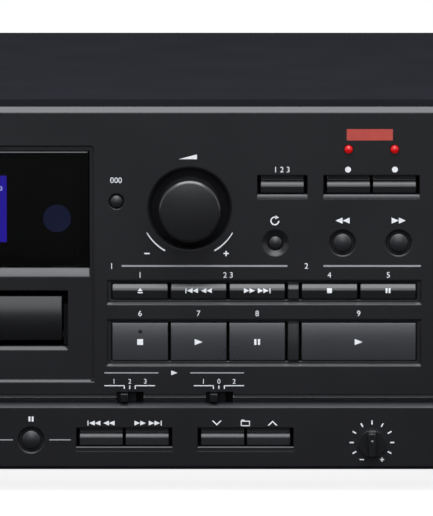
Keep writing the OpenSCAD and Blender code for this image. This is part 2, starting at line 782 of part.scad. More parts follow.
panel_switches = concat(
  [for (i = [0 : 2], h = [narrow_mid, tall_mid]) [key_x(i), h]],
  [for (i = [0 : 1]) [tape_key_x(i), narrow_mid]],
  [[wide_x, tall_mid], [source_x, bar_mid], [repeat_x, round_row], [rewind_x, round_row]],
  [[forward_x, round_row], [counter_x, counter_row]],
  [for (s = [-1, 1]) [record_x + s * lamp_pitch / 2, bar_mid]]
);
strip_switches = concat(
  [for (x = [usb_stop_x, usb_play_x, usb_pause_x, eject_x]) [x, strip_row]],
  [for (x = [skip_x, folder_x], s = [-1, 1]) [x + s * lamp_pitch / 2, strip_row]]
);
switch_side_w = 6;
plunger_r = 1.7;
pot_w = 11;
pot_d = 8;
pot_floor = 1.5;

// A push switch on the front of a board
module push_switch(p) {
  span([p[0] - switch_side_w / 2, p[0] + switch_side_w / 2], [board_y - switch_h, board_y + eps],
       [up(p[1]) - switch_side_w / 2, up(p[1]) + switch_side_w / 2]);
  turned(p[0], up(p[1]), plunger_y) cylinder(r = plunger_r, h = plunger_h + eps);
}

// A rotary control whose bore takes a knob's shaft
module rotary_control(x, low) difference() {
  span([x - pot_w / 2, x + pot_w / 2], [board_y - pot_d, board_y + eps],
       [up(low) - pot_w / 2, up(low) + pot_w / 2]);
  turned(x, up(low), board_y - pot_d - 1) cylinder(r = shaft_r + play, h = 1 + pot_d - pot_floor);
}

strip_board_h = 20;
latch_w = 12;
latch_y = stem_tip + power_travel + 0.4;
slide_body_h = 5;

module control_boards() color(board_green) {
  span([recess_x1 + pocket_rim / 2 - 1, board_right], [board_y, board_y + board_t],
       [up(recess_low) - 4.5, top_z - panel_wall - board_edge]);
  for (p = panel_switches) push_switch(p);
  rotary_control(level_x, level_row);
  for (x = [source_switch_x, mode_switch_x])
    span([x - 5, x + 5 + switch_travel], [board_y - slide_body_h, board_y + eps],
         [switch_z0 - 1, up(recess_low)]);
  span([-board_right, board_right], [board_y, board_y + board_t],
       [foot_h + panel_wall + 1, foot_h + panel_wall + 1 + strip_board_h]);
  for (p = strip_switches) push_switch(p);
  rotary_control(pitch_x, pitch_row);
  rotary_control(phones_knob_x, strip_row);
  span([power_x - latch_w / 2, power_x + latch_w / 2], [latch_y, board_y + eps],
       [up(strip_row) - latch_w / 2, up(strip_row) + latch_w / 2]);
}

// Boards and supply in the case

cap_r = 8;
cap_h = 30;
cap_count = 4;
cap_pitch = 22;
cap_edge = 30;
sink_fins = 7;
sink_pitch = 6;
sink_h = 34;
sink_t = 3;
sink_edge = 70;
sink_back = 38;
fin_t = 1.6;
fin_d = 11;
chip_w = 16;
chip_h = 2.2;
chip_edge = 130;
chip_pitch = 30;
chip_back = 26;
main_z = floor_z + standoff_h;

module main_board() color(board_green) {
  top = main_z + board_t - eps;
  span(main_x, main_y, [main_z, main_z + board_t]);
  for (i = [0 : cap_count - 1])
    translate([main_x[1] - cap_edge - i * cap_pitch, main_y[0] + 2 * cap_r, top])
      cylinder(r = cap_r, h = cap_h);
  // Heat sink with upright fins
  translate([main_x[1] - sink_edge, main_y[0] + sink_back, top]) {
    cube([sink_fins * sink_pitch, sink_t, sink_h]);
    for (i = [0 : sink_fins - 1])
      translate([i * sink_pitch + fin_t, sink_t / 2 - fin_d, 0]) cube([fin_t, fin_d, sink_h]);
  }
  for (i = [0, 1])
    translate([main_x[0] + chip_edge + i * chip_pitch, main_y[1] - chip_back, top])
      cube([chip_w, chip_w, chip_h]);
}

transformer_side = 74;
transformer_back = 75;
transformer_x = base_x - transformer_side;
transformer_y = rear_y - transformer_back;
core_w = 66;
core_h = 55;
core_d = 32;
limb = 11;
strap = 1.5;
strap_foot = 14;
coil_out = 9;
coil_round = 8;

// Laminated core with one coil on its middle limb, clamped in a strap with two feet
module power_transformer() color(copper)
  translate([transformer_x, transformer_y, floor_z]) {
    difference() {
      translate([-core_w / 2, -core_d / 2, strap]) cube([core_w, core_d, core_h]);
      for (x = [-core_w / 2 + limb, limb])
        translate([x, -core_d, strap + limb])
          cube([core_w / 2 - 2 * limb, 2 * core_d, core_h - 2 * limb]);
    }
    translate([0, 0, strap + limb + fit]) linear_extrude(core_h - 2 * limb - 2 * fit) difference() {
      soft_rect([limb - core_w / 2 + fit, core_w / 2 - limb - fit],
                [-core_d / 2 - coil_out, core_d / 2 + coil_out], coil_round);
      square([2 * limb + 2 * fit, core_d + 2 * fit], center = true);
    }
    translate([-core_w / 2 - strap_foot, -core_d / 2, 0]) cube([core_w + 2 * strap_foot, core_d, strap]);
  }

module front_sockets() color(inner_black) {
  jack_w = 13;
  jack_depth = 19;
  difference() {
    union() {
      turned(phones_x, up(strip_row), strip_y - 1) cylinder(r = phones_ring, h = 1);
      turned(phones_x, up(strip_row), strip_y - eps) cylinder(r = phones_neck, h = panel_wall + 1);
      span([phones_x - jack_w / 2, phones_x + jack_w / 2], [strip_y + panel_wall, board_y],
           [up(strip_row) - jack_w / 2, up(strip_row) + jack_w / 2]);
    }
    turned(phones_x, up(strip_row), strip_y - 2) cylinder(r = phones_bore, h = jack_depth);
  }
  usb_shell = 0.6;
  usb_depth = 12;
  usb_y = strip_y + 0.3;
  difference() {
    span([usb_x - usb_w / 2, usb_x + usb_w / 2], [usb_y, board_y],
         [up(strip_row) - usb_h / 2, up(strip_row) + usb_h / 2]);
    span([usb_x - usb_w / 2 + usb_shell, usb_x + usb_w / 2 - usb_shell], [usb_y - 1, usb_y + usb_depth],
         [up(strip_row) - usb_h / 2 + usb_shell, up(strip_row) + usb_h / 2 - usb_shell]);
  }
  // Tongue of the USB socket, in the upper half of its shell
  tongue_w = 11.2;
  tongue_t = 1.7;
  tongue_in = 0.8;
  span([usb_x - tongue_w / 2, usb_x + tongue_w / 2], [usb_y + tongue_in, usb_y + usb_depth + 1],
       [up(strip_row) + tongue_in / 4, up(strip_row) + tongue_in / 4 + tongue_t]);
}

module rear_sockets() color(inner_black) {
  block_d = 14;
  block_rim = 3;
  ring_out = 1.2;
  rca_bore = 1.7;
  bore_in = 4;
  difference() {
    union() {
      span([rca_xs[0] - rca_ring - block_rim, rca_xs[3] + rca_ring + block_rim],
           [rear_y - sheet - block_d, rear_y - sheet], [main_z + board_t, rca_z + rca_ring + block_rim]);
      for (x = rca_xs) {
        turned(x, rca_z, rear_y - sheet - eps) cylinder(r = rca_ring, h = sheet + ring_out);
        turned(x, rca_z, rear_y) cylinder(r = rca_r, h = socket_out);
      }
    }
    for (x = rca_xs) turned(x, rca_z, rear_y - bore_in) cylinder(r = rca_bore, h = socket_out + bore_in + 1);
  }
  // Two-pin inlet: two round wells side by side, each with a pin
  inlet_d = 20;
  flange = 3;
  flange_out = 2;
  well_r = 4.2;
  well_x = 3.6;
  well_in = 12;
  pin_r = 1.2;
  difference() {
    union() {
      span([inlet_x - inlet_w / 2, inlet_x + inlet_w / 2], [rear_y - inlet_d, rear_y + flange_out],
           [inlet_z - inlet_h / 2, inlet_z + inlet_h / 2]);
      span([inlet_x - inlet_w / 2 - flange, inlet_x + inlet_w / 2 + flange], [rear_y, rear_y + flange_out],
           [inlet_z - inlet_h / 2 - flange, inlet_z + inlet_h / 2 + flange]);
    }
    for (s = [-1, 1])
      turned(inlet_x + s * well_x, inlet_z, rear_y - well_in)
        cylinder(r = well_r, h = well_in + 2 * flange_out);
  }
  for (s = [-1, 1])
    turned(inlet_x + s * well_x, inlet_z, rear_y - well_in - 1) cylinder(r = pin_r, h = well_in);
}

// Disc mechanism, about the middle of the tray

fascia_set = 1.2;
fascia_y = face_y + fascia_set;
fascia_t = 4;
fascia_curve = 32;
tray_y = fascia_y + fascia_t;
tray_w = 126;
tray_len = 168;
tray_z = up(fascia_low) + 3.1;
tray_t = 6;
disc_y = tray_y + disc_r + 5;
well_d = 2.5;
small_disc_r = 40.5;
hub_hole_r = 20;
pickup_slot_w = 36;

// Rack under the tray and the gear that drives it
gear_module = 1.25;
gear_teeth = 16;
gear_r = gear_module * gear_teeth / 2;
tooth_pitch = PI * gear_module;
tooth_tip = 0.8 * gear_module;
tooth_root = 1.1 * gear_module;
tooth_half = tooth_pitch / 4 - 0.25;
tip_half = tooth_half - tooth_tip * tan(20);
root_half = tooth_half + tooth_root * tan(20);
gear_side = 30;
gear_in = 22;
gear_x = recess_x + gear_side;
gear_y = face_y + gear_in;
rack_x = gear_x + gear_r;
rack_back = 4;
rack_z = up(fascia_low) - 0.9;
rack_teeth = ceil((tray_travel + 4 * gear_r / 2) / tooth_pitch);
rack_start = gear_y - 2 * tooth_pitch;
gear_t = 5;
gear_z = tray_z - 1 - gear_t;
gear_pin_r = 2;

function rack_points() = concat(
  [[rack_x + rack_back, rack_start - tooth_pitch / 2]],
  [[rack_x + tooth_root, rack_start - tooth_pitch / 2]],
  [for (k = [0 : rack_teeth], p = [[tooth_root, -root_half], [-tooth_tip, -tip_half],
                                   [-tooth_tip, tip_half], [tooth_root, root_half]])
    [rack_x + p[0], rack_start + (k + 0.5) * tooth_pitch + p[1]]],
  [[rack_x + tooth_root, rack_start + (rack_teeth + 1.5) * tooth_pitch]],
  [[rack_x + rack_back, rack_start + (rack_teeth + 1.5) * tooth_pitch]]
);

function gear_points() = [
  for (i = [0 : gear_teeth - 1], p = [[-tooth_root, -root_half], [tooth_tip, -tip_half],
                                      [tooth_tip, tip_half], [-tooth_root, root_half]])
    let (r = gear_r + p[0], a = 360 * i / gear_teeth + p[1] / r * 180 / PI) [r * cos(a), r * sin(a)]
];

module cd_tray() color(inner_black) {
  // Fascia with a face that curves back towards its top
  intersection() {
    span([recess_x - fascia_w / 2, recess_x + fascia_w / 2], [fascia_y, tray_y],
         [up(fascia_low), up(fascia_low + fascia_h)]);
    translate([recess_x, fascia_y + fascia_curve, up(fascia_low + 0.4 * fascia_h)]) rotate([0, 90, 0])
      cylinder(r = fascia_curve, h = fascia_w + 2, center = true, $fn = 128);
  }
  difference() {
    span([recess_x - tray_w / 2, recess_x + tray_w / 2], [tray_y - eps, tray_y + tray_len],
         [tray_z, tray_z + tray_t]);
    translate([recess_x, disc_y, tray_z + tray_t - well_d]) cylinder(r = disc_r, h = tray_t);
    translate([recess_x, disc_y, tray_z + tray_t - well_d - 1]) cylinder(r = small_disc_r, h = tray_t);
    translate([recess_x, disc_y, tray_z - 1]) cylinder(r = hub_hole_r, h = 2 * tray_t);
    span([recess_x - pickup_slot_w / 2, recess_x + pickup_slot_w / 2], [disc_y, disc_y + disc_r],
         [tray_z - 1, tray_z + 2 * tray_t]);
  }
  translate([0, 0, rack_z]) linear_extrude(tray_z - rack_z + eps) polygon(rack_points());
}

module tray_gear() color("#d8d6cc") translate([gear_x, gear_y, gear_z]) difference() {
  linear_extrude(gear_t) polygon(gear_points());
  translate([0, 0, -1]) cylinder(r = gear_pin_r + play, h = gear_t + 2);
}

loader_gap = 1.5;
loader_x = tray_w / 2 + loader_gap;
loader_wall = 2.5;
loader_in = 8;
loader_len = 174;
loader_y = [face_y + loader_in, face_y + loader_in + loader_len];
loader_low = 31;
loader_z = up(loader_low);
loader_t = 2.5;
loader_rise = 4;
loader_top = tray_z + tray_t + loader_rise;
rail_w = 7;
rail_t = 2.4;
rail_gap = 0.3;
catch_w = 3.5;
catch_len = 28;
catch_front = 22;
catch_pitch = 108;
catch_ys = [loader_y[0] + catch_front, loader_y[0] + catch_front + catch_pitch];
bridge_half = 10;
bridge_y = [disc_y - bridge_half, disc_y + bridge_half];
bridge_rise = 6;
bridge_z = loader_top + bridge_rise;
bridge_t = 4;
clamp_seat_r = 7;
leg_r = 4.5;
leg_in = 6;
leg_end = 10;
leg_ys = [back_y + leg_end, loader_y[1] - leg_end];
gear_post_r = 5;

module cd_loader_frame() color(inner_black) translate([recess_x, 0, 0]) {
  base_top = loader_z + loader_t;
  span([-loader_x - loader_wall, loader_x + loader_wall], loader_y, [loader_z, base_top]);
  for (s = [0, 1]) mirror([s, 0, 0]) {
    span([loader_x, loader_x + loader_wall], loader_y, [loader_z, loader_top]);
    span([loader_x - rail_w, loader_x + eps], loader_y, [tray_z - rail_gap - rail_t, tray_z - rail_gap]);
    for (y = catch_ys)
      span([loader_x - catch_w, loader_x + eps], [y, y + catch_len],
           [tray_z + tray_t + rail_gap, loader_top]);
    span([loader_x, loader_x + loader_wall], bridge_y, [loader_top - eps, bridge_z + bridge_t]);
    for (y = leg_ys)
      translate([loader_x - leg_in, y, floor_z]) cylinder(r = leg_r, h = loader_z - floor_z + eps);
  }
  // Bridge over the disc, with the round seat of the disc clamp
  difference() {
    span([-loader_x - eps, loader_x + eps], bridge_y, [bridge_z, bridge_z + bridge_t]);
    translate([0, disc_y, bridge_z - 1]) cylinder(r = clamp_seat_r, h = bridge_t + 2);
  }
  // Post and pin of the tray gear
  translate([gear_x - recess_x, gear_y, base_top - eps]) {
    cylinder(r = gear_post_r, h = gear_z - base_top - rail_gap);
    cylinder(r = gear_pin_r, h = gear_z + gear_t - base_top);
  }
}

traverse_stand = 2;
traverse_z = loader_z + loader_t + traverse_stand;
traverse_t = 2;
traverse_x = 42;
traverse_front = 22;
motor_r = 14;
motor_h = 7;
motor_top = traverse_z + traverse_t + motor_h;
spindle_r = 1;
rod_r = 1.5;
rod_x = 20;
rod_z = traverse_z + traverse_t + 4.5;
rod_gap = 15;
rod_len = 73;
rod_y = [disc_y + rod_gap, disc_y + rod_gap + rod_len];
bracket_t = 3;
bracket_x = 4;
bracket_rise = 3;
stand_r = 4;
stand_in = 6;
stand_x = traverse_x - stand_in;
stand_ys = [disc_y - traverse_front + stand_in, rod_y[1] + bracket_x - stand_in];
pickup_gap = 20;
pickup_len = 24;
pickup_y = [disc_y + pickup_gap, disc_y + pickup_gap + pickup_len];
pickup_side = 4;
pickup_half = 3;
lens_r = 3.6;
lens_rise = 5.2;
lens_back = 7;

module cd_traverse() color(steel) translate([recess_x, 0, 0]) {
  plate_top = traverse_z + traverse_t;
  difference() {
    union() {
      span([-traverse_x, traverse_x], [disc_y - traverse_front, rod_y[1] + bracket_x],
           [traverse_z, plate_top]);
      translate([0, disc_y, plate_top - eps]) cylinder(r = motor_r, h = motor_top - plate_top);
    }
    translate([0, disc_y, traverse_z + traverse_t / 2]) cylinder(r = spindle_r + play, h = motor_top);
  }
  for (x = [-rod_x, rod_x]) {
    translate([x, rod_y[0], rod_z]) rotate([-90, 0, 0]) cylinder(r = rod_r, h = rod_y[1] - rod_y[0]);
    for (y = [rod_y[0], rod_y[1] - bracket_t])
      span([x - bracket_x, x + bracket_x], [y, y + bracket_t], [plate_top - eps, rod_z + bracket_rise]);
  }
  for (x = [-stand_x, stand_x], y = stand_ys)
    translate([x, y, loader_z + loader_t]) cylinder(r = stand_r, h = traverse_stand + eps);
}

platter_r = 15;
platter_t = 2.2;
platter_z = motor_top + 0.6;
boss_r = 7.3;
boss_h = 5;
boss_cone = 1.6;

module cd_turntable() color(knob_black) translate([recess_x, disc_y, 0]) {
  translate([0, 0, traverse_z + traverse_t / 2 + fit]) cylinder(r = spindle_r, h = platter_z - traverse_z);
  translate([0, 0, platter_z]) rotate_extrude()
    polygon([[0, 0], [platter_r, 0], [platter_r, platter_t], [boss_r, platter_t],
             [boss_r, boss_h - 0.75 * boss_cone], [boss_r - boss_cone, boss_h], [0, boss_h]]);
}

module cd_pickup() color(steel) translate([recess_x, 0, 0]) difference() {
  union() {
    span([-rod_x - pickup_side, rod_x + pickup_side], pickup_y, [rod_z - pickup_half, rod_z + pickup_half]);
    translate([0, pickup_y[0] + lens_back, rod_z]) cylinder(r = lens_r, h = lens_rise);
  }
  for (x = [-rod_x, rod_x])
    translate([x, pickup_y[0] - 1, rod_z]) rotate([-90, 0, 0])
      cylinder(r = rod_r + play, h = pickup_y[1] - pickup_y[0] + 2);
}

// Tape mechanism, about the middle of the cassette bay

cassette_low = 12.5;
cassette_z = up(door_low) + cassette_low;
hub_low = 29.5;
hub_z = cassette_z + hub_low;
plate_deep = 28;
plate_y = face_y + plate_deep;
plate_t = 1.5;
reel_xs = [bay_x - hub_pitch / 2, bay_x + hub_pitch / 2];
reel_pin_r = 1.5;
reel_in = 11.5;
reel_tip = face_y + reel_in;
reel_base_y = plate_y - 6;
reel_base_r = 10;
reel_cap = 1.3;
reel_r = 3;
reel_nose = 2;
spline_r = 4.4;
spline_t = 1.2;
reel_lift = 0.4;
capstan_side = 17;
capstan_low = 4;
capstan_x = bay_x + capstan_side;
capstan_z = cassette_z + capstan_low;
capstan_r = 1.2;
bush_r = 3.5;
bush_len = 4.5;
flywheel_r = 22;
flywheel_gap = 4;
flywheel_w = 8;
flywheel_y = [plate_y + flywheel_gap, plate_y + flywheel_gap + flywheel_w];
slide_y = [plate_y - 2.6, plate_y - 0.6];
slide_low = 19;
slide_h = 13;
slide_z = [cassette_z - slide_low, cassette_z - slide_low + slide_h];
head_rise = 4.5;
guide_r = 2;
guide_pitch = 48;
guide_xs = [bay_x - guide_pitch / 2, bay_x + guide_pitch / 2];
guide_low = 9;
guide_z = slide_z[0] + guide_low;
pinch_r = 6;
pinch_w = 9;
pinch_in = 14;
pinch_y = [face_y + pinch_in, face_y + pinch_in + pinch_w];
pinch_z = capstan_z - capstan_r - pinch_r - fit - head_rise;
plate_in = 6;
plate_x = door_w / 2 - plate_in;
plate_foot = 16;

module tape_deck_plate() color(zinc) {
  x = [bay_x - plate_x, bay_x + plate_x];
  difference() {
    union() {
      span(x, [plate_y, plate_y + plate_t], [floor_z, up(door_low + door_h)]);
      turned(capstan_x, capstan_z, plate_y - bush_len) cylinder(r = bush_r, h = bush_len + eps);
    }
    turned(capstan_x, capstan_z, plate_y - bush_len - 1)
      cylinder(r = capstan_r + play, h = bush_len + plate_t + 2);
  }
  span(x, [plate_y + plate_t - eps, plate_y + plate_foot], [floor_z, floor_z + plate_t]);
  for (x = reel_xs)
    turned(x, hub_z, reel_tip + reel_cap + fit)
      cylinder(r = reel_pin_r, h = plate_y + eps - reel_tip - reel_cap - fit);
  for (x = guide_xs)
    turned(x, guide_z, slide_y[0] - 0.5) cylinder(r = guide_r, h = plate_y + eps - slide_y[0] + 0.5);
}

// A reel carrier: a wide base and a splined spindle that takes a cassette hub
module reel(x) color(inner_black) difference() {
  shank = reel_base_y - reel_tip - reel_nose;
  union() {
    turned(x, hub_z, reel_base_y) cylinder(r = reel_base_r, h = plate_y - reel_lift - reel_base_y);
    turned(x, hub_z, reel_tip) {
      cylinder(r1 = 0.73 * reel_r, r2 = reel_r, h = reel_nose);
      translate([0, 0, reel_nose - eps]) cylinder(r = reel_r, h = shank + 2 * eps);
      for (a = [0 : 120 : 240]) rotate([0, 0, a])
        translate([0, -spline_t / 2, reel_nose]) cube([spline_r, spline_t, shank]);
    }
  }
  turned(x, hub_z, reel_tip + reel_cap) cylinder(r = reel_pin_r + play, h = plate_y - reel_tip);
}

module supply_reel() reel(reel_xs[0]);
module takeup_reel() reel(reel_xs[1]);

wheel_hub_r = 6;
wheel_rim = 5;
web_front = 1.5;
web_rear = 2;

module capstan_flywheel() color(steel) {
  turned(capstan_x, capstan_z, pinch_y[0]) cylinder(r = capstan_r, h = flywheel_y[0] - pinch_y[0] + 1);
  turned(capstan_x, capstan_z, flywheel_y[0]) rotate_extrude() {
    h = flywheel_y[1] - flywheel_y[0];
    inner = flywheel_r - wheel_rim;
    polygon([[0, 0], [wheel_hub_r, 0], [wheel_hub_r, web_front], [inner, web_front], [inner, 0],
             [flywheel_r, 0], [flywheel_r, h], [inner, h], [inner, h - web_rear], [wheel_hub_r, h - web_rear],
             [wheel_hub_r, h], [0, h]]);
  }
}

tape_motor_r = 15;
tape_motor_len = 26;
tape_motor_y = [plate_y + plate_foot, plate_y + plate_foot + tape_motor_len];
motor_bracket_x = 22;
motor_bracket_z = 6;
motor_bracket_t = 1.5;
motor_post_r = 2.5;
motor_post_x = motor_bracket_x - 3;
motor_edge = 2;
motor_rise = 8;
motor_x = bay_x - plate_x + motor_bracket_x + motor_edge;
motor_z = capstan_z + motor_rise;
pulley_r = 5;
pulley_w = 6;
motor_shaft_r = 1;

module tape_motor() color(steel) {
  front = tape_motor_y[0];
  pulley_y = flywheel_y[0] + 1;
  turned(motor_x, motor_z, front) cylinder(r = tape_motor_r, h = tape_motor_len);
  turned(motor_x, motor_z, pulley_y) cylinder(r = pulley_r, h = pulley_w);
  turned(motor_x, motor_z, pulley_y) cylinder(r = motor_shaft_r, h = front + 1 - pulley_y);
  span([motor_x - motor_bracket_x, motor_x + motor_bracket_x], [front - motor_bracket_t, front + eps],
       [motor_z - motor_bracket_z, motor_z + motor_bracket_z]);
  for (s = [-1, 1])
    turned(motor_x + s * motor_post_x, motor_z, plate_y + plate_t)
      cylinder(r = motor_post_r, h = front - 1 - plate_y - plate_t);
}

belt_t = 1.2;
belt_w = 3;

// Outline of the belt's run, a given distance outside the wheels
module belt_run(out) hull() {
  translate([capstan_x, capstan_z]) circle(flywheel_r + out);
  translate([motor_x, motor_z]) circle(pulley_r + out, $fn = 32);
}

module drive_belt() color(rubber_black)
  towards_rear(flywheel_y[0] + 2.5, belt_w) difference() {
    belt_run(fit + belt_t);
    belt_run(fit);
  }

head_in = 11.5;
head_y = face_y + head_in;
slide_x = 30;
head_w = 12;
eraser_w = 7;
eraser_x = -14.5;
head_low = 10;

module head_slide() color(zinc) difference() {
  union() {
    span([bay_x - slide_x, bay_x + slide_x], slide_y, slide_z);
    span([bay_x - head_w / 2, bay_x + head_w / 2], [head_y, slide_y[0] + eps],
         [cassette_z - head_low, cassette_z - 2]);
    span([bay_x + eraser_x - eraser_w / 2, bay_x + eraser_x + eraser_w / 2], [head_y, slide_y[0] + eps],
         [cassette_z - head_low, cassette_z - 3]);
    turned(capstan_x, pinch_z, pinch_y[0] - 0.5)
      cylinder(r = reel_pin_r, h = slide_y[0] + eps - pinch_y[0] + 0.5);
  }
  // Upright slots that run on the deck's guide pins
  for (x = guide_xs)
    towards_rear(slide_y[0] - 1, 4) {
      for (z = [guide_z, guide_z - head_rise]) translate([x, z]) circle(guide_r + play);
      translate([x - guide_r - play, guide_z - head_rise]) square([2 * (guide_r + play), head_rise]);
    }
}

module pinch_roller() color(rubber_black) difference() {
  turned(capstan_x, pinch_z, pinch_y[0]) cylinder(r = pinch_r, h = pinch_y[1] - pinch_y[0]);
  turned(capstan_x, pinch_z, pinch_y[0] - 1) cylinder(r = reel_pin_r + play, h = pinch_y[1] - pinch_y[0] + 2);
}

door_y = hinge_y - door_round;
door_z1 = up(door_low + door_h);
view_side = 12;
view_x = door_w / 2 - view_side;
view_low = 4;
view_h = 54;
view_z = [cassette_z + view_low, cassette_z + view_low + view_h];
view_rim = 2;
view_t = 2;
view_y = door_y + 0.2;
holder_x = cassette_w / 2 + fit;
holder_t = 2;
holder_y = [door_y + door_t - 0.1, door_y + door_t + cassette_t + 2];
lip_t = 1.5;
lip_w = 4;
sole_w = 12;
sole_t = 3;
holder_short = 8;
lip_short = 18;

module cassette_door() color(panel_black) {
  difference() {
    union() {
      span([bay_x - door_w / 2, bay_x + door_w / 2], [door_y, door_y + door_t], [hinge_z, door_z1]);
      translate([bay_x - door_w / 2, hinge_y, hinge_z]) rotate([0, 90, 0])
        cylinder(r = door_round, h = door_w);
    }
    span([bay_x - view_x, bay_x + view_x], [door_y - 1, door_y + door_t + 1], view_z);
    span([bay_x - view_x - view_rim - play, bay_x + view_x + view_rim + play], [door_y - 1, view_y + view_t],
         [view_z[0] - view_rim - play, view_z[1] + view_rim + play]);
  }
  translate([bay_x - door_w / 2 - bay_wall, hinge_y, hinge_z]) rotate([0, 90, 0])
    cylinder(r = hinge_r, h = door_w + 2 * bay_wall);
  // Channels that hold the cassette behind the window
  for (s = [0, 1]) translate([bay_x, 0, 0]) mirror([s, 0, 0]) {
    span([holder_x, holder_x + holder_t], holder_y,
         [cassette_z - sole_t, cassette_z + cassette_h - holder_short]);
    span([holder_x - lip_w, holder_x + holder_t], [holder_y[1] - eps, holder_y[1] + lip_t],
         [cassette_z - sole_t, cassette_z + cassette_h - lip_short]);
    span([holder_x - sole_w, holder_x + holder_t], holder_y, [cassette_z - sole_t, cassette_z - fit]);
  }
}

module door_window() color("#3a3c40", 0.4)
  span([bay_x - view_x - view_rim, bay_x + view_x + view_rim], [view_y, view_y + view_t],
       [view_z[0] - view_rim, view_z[1] + view_rim]);

// Knobs and sliders

shaft_end = board_y - pot_floor - fit;

module rec_level_knob() color(knob_black) {
  front = face_y - knob_out;
  rim = 1.2;
  dome = 0.6;
  taper = 0.2;
  turned(level_x, up(level_row), front) rotate_extrude($fn = 128) polygon(concat(
    [for (k = [0 : 7]) [(level_r - taper - rim) * k / 8, dome * k * k / 64]],
    arc(level_r - taper - rim, dome + rim, rim, -90, 0, 8),
    [[level_r, knob_out + level_floor - fit], [0, knob_out + level_floor - fit]]
  ));
  turned(level_x, up(level_row), face_y) cylinder(r = shaft_r, h = shaft_end - face_y);
}

// A small knob with a raised bar across it to grip and to point
module bar_knob(x, low, r) color(knob_black) {
  skirt = 2.2;
  bar = 2.6;
  gap = 0.4;
  front = strip_y - small_knob_out;
  turned(x, up(low), strip_y - gap - skirt) cylinder(r = r, h = skirt);
  intersection() {
    turned(x, up(low), front) cylinder(r1 = r - 0.8, r2 = r, h = small_knob_out - gap);
    span([x - bar / 2, x + bar / 2], [front, strip_y - gap], [up(low) - r, up(low) + r]);
  }
  turned(x, up(low), strip_y - gap - eps) cylinder(r = shaft_r, h = shaft_end - strip_y + gap);
}

module pitch_knob() bar_knob(pitch_x, pitch_row, pitch_r);
module phones_knob() bar_knob(phones_knob_x, strip_row, pitch_r + 1);

slider_out = 3.4;

// A slide switch's thumb piece, at its left stop
module slider(x) color(inner_black) {
  lip = 3;
  z0 = switch_z0 + 0.6;
  z1 = switch_z1 - fit;
  span([x - slider_w / 2, x + slider_w / 2], [face_y - slider_out, inner_y + 1], [z0, z1]);
  span([x - slider_w / 2 - lip, x + slider_w / 2 + lip], [inner_y + seat_gap, inner_y + seat_gap + flange_t],
       [z0 - 1.2, z1 + 1.2]);
  span([x - 1, x + 1], [inner_y + 1, board_y - slide_body_h - fit], [z0, z1]);
}

module start_source_switch() slider(source_switch_x);
module start_mode_switch() slider(mode_switch_x);

// Buttons

// A domed round button in a wall whose face is at y
module round_button(x, low, r, y) color(key_black) {
  dome = 0.9;
  big = (r * r + dome * dome) / (2 * dome);
  front = y - 0.5;
  seat = y + panel_wall + seat_gap;
  turned(x, up(low), front) rotate_extrude() intersection() {
    square([r, seat + flange_t - front]);
    translate([0, big]) circle(big, $fn = 256);
    square([r, 2 * big]);
  }
  turned(x, up(low), seat) cylinder(r = r + flange_lip, h = flange_t);
  turned(x, up(low), seat) cylinder(r = stem_r, h = stem_tip - seat);
}

// The flange behind the wall and the stem that works the switch
module key_back(x, w, low, h, y, lip_up) {
  seat = y + panel_wall + seat_gap;
  span([x - w / 2, x + w / 2], [seat, seat + flange_t],
       [up(low) - fit - flange_lip, up(low + h) + lip_up + flange_lip]);
  turned(x, up(low + h / 2), seat) cylinder(r = stem_r, h = stem_tip - seat);
}

bar_slope = 0.43;
narrow_slope = 0.34;

// A bar whose upper front edge slopes back; the slope takes a share of its height
module sloped_face(x, w, low, h, front, back, share) {
  slope = 1.3;
  along_x(x, w)
    polygon([[front, up(low)], [front, up(low + h * (1 - share))], [front + slope, up(low + h)],
             [back, up(low + h)], [back, up(low)]]);
}

module bar_button(x, low, y) color(key_black) {
  sloped_face(x, bar_w, low, bar_h, y + bar_set, y + panel_wall + seat_gap + eps, bar_slope);
  key_back(x, bar_w, low, bar_h, y, slot_shadow);
}

module narrow_key(x) color(key_black) {
  sloped_face(x, key_w, narrow_low, narrow_h, face_y - key_proud, inner_y + seat_gap + eps, narrow_slope);
  key_back(x, key_w, narrow_low, narrow_h, face_y, fit);
}

// A face as high as the tall keys that curves back towards its top
module tall_face(x, w, back) {
  front = face_y - key_proud;
  intersection() {
    span([x - w / 2, x + w / 2], [front, back], [up(tall_low), up(tall_low + tall_h)]);
    translate([x, front + tall_curve, up(tall_low) + tall_h / 4]) rotate([0, 90, 0])
      cylinder(r = tall_curve, h = w + 2, center = true, $fn = 256);
  }
}

module tall_key(x, w) color(key_black) {
  tall_face(x, w, inner_y + seat_gap + eps);
  key_back(x, w, tall_low, tall_h, face_y, fit);
}

module power_button() round_button(power_x, strip_row, power_r, strip_y);
module eject_button() bar_button(eject_x, strip_bar, strip_y);
module counter_reset_button() round_button(counter_x, counter_row, counter_r, face_y);
module source_button() bar_button(source_x, bar_low, face_y);
module usb_record_button() bar_button(record_x - lamp_pitch / 2, bar_low, face_y);
module tape_record_button() bar_button(record_x + lamp_pitch / 2, bar_low, face_y);
module repeat_button() round_button(repeat_x, round_row, repeat_r, face_y);
module rewind_button() round_button(rewind_x, round_row, round_r, face_y);
module fast_forward_button() round_button(forward_x, round_row, round_r, face_y);
module cd_open_button() narrow_key(key_x(0));
module cd_skip_back_button() narrow_key(key_x(1));
module cd_skip_forward_button() narrow_key(key_x(2));
module tape_stop_button() narrow_key(tape_key_x(0));
module tape_pause_button() narrow_key(tape_key_x(1));
module cd_stop_button() tall_key(key_x(0), key_w);
module cd_play_button() tall_key(key_x(1), key_w);
module cd_pause_button() tall_key(key_x(2), key_w);
module tape_play_button() tall_key(wide_x, wide_w);
module usb_stop_button() round_button(usb_stop_x, strip_row, round_r, strip_y);
module usb_play_button() round_button(usb_play_x, strip_row, round_r, strip_y);
module usb_pause_button() round_button(usb_pause_x, strip_row, round_r, strip_y);
module usb_skip_back_button() bar_button(skip_x - lamp_pitch / 2, strip_bar, strip_y);
module usb_skip_forward_button() bar_button(skip_x + lamp_pitch / 2, strip_bar, strip_y);
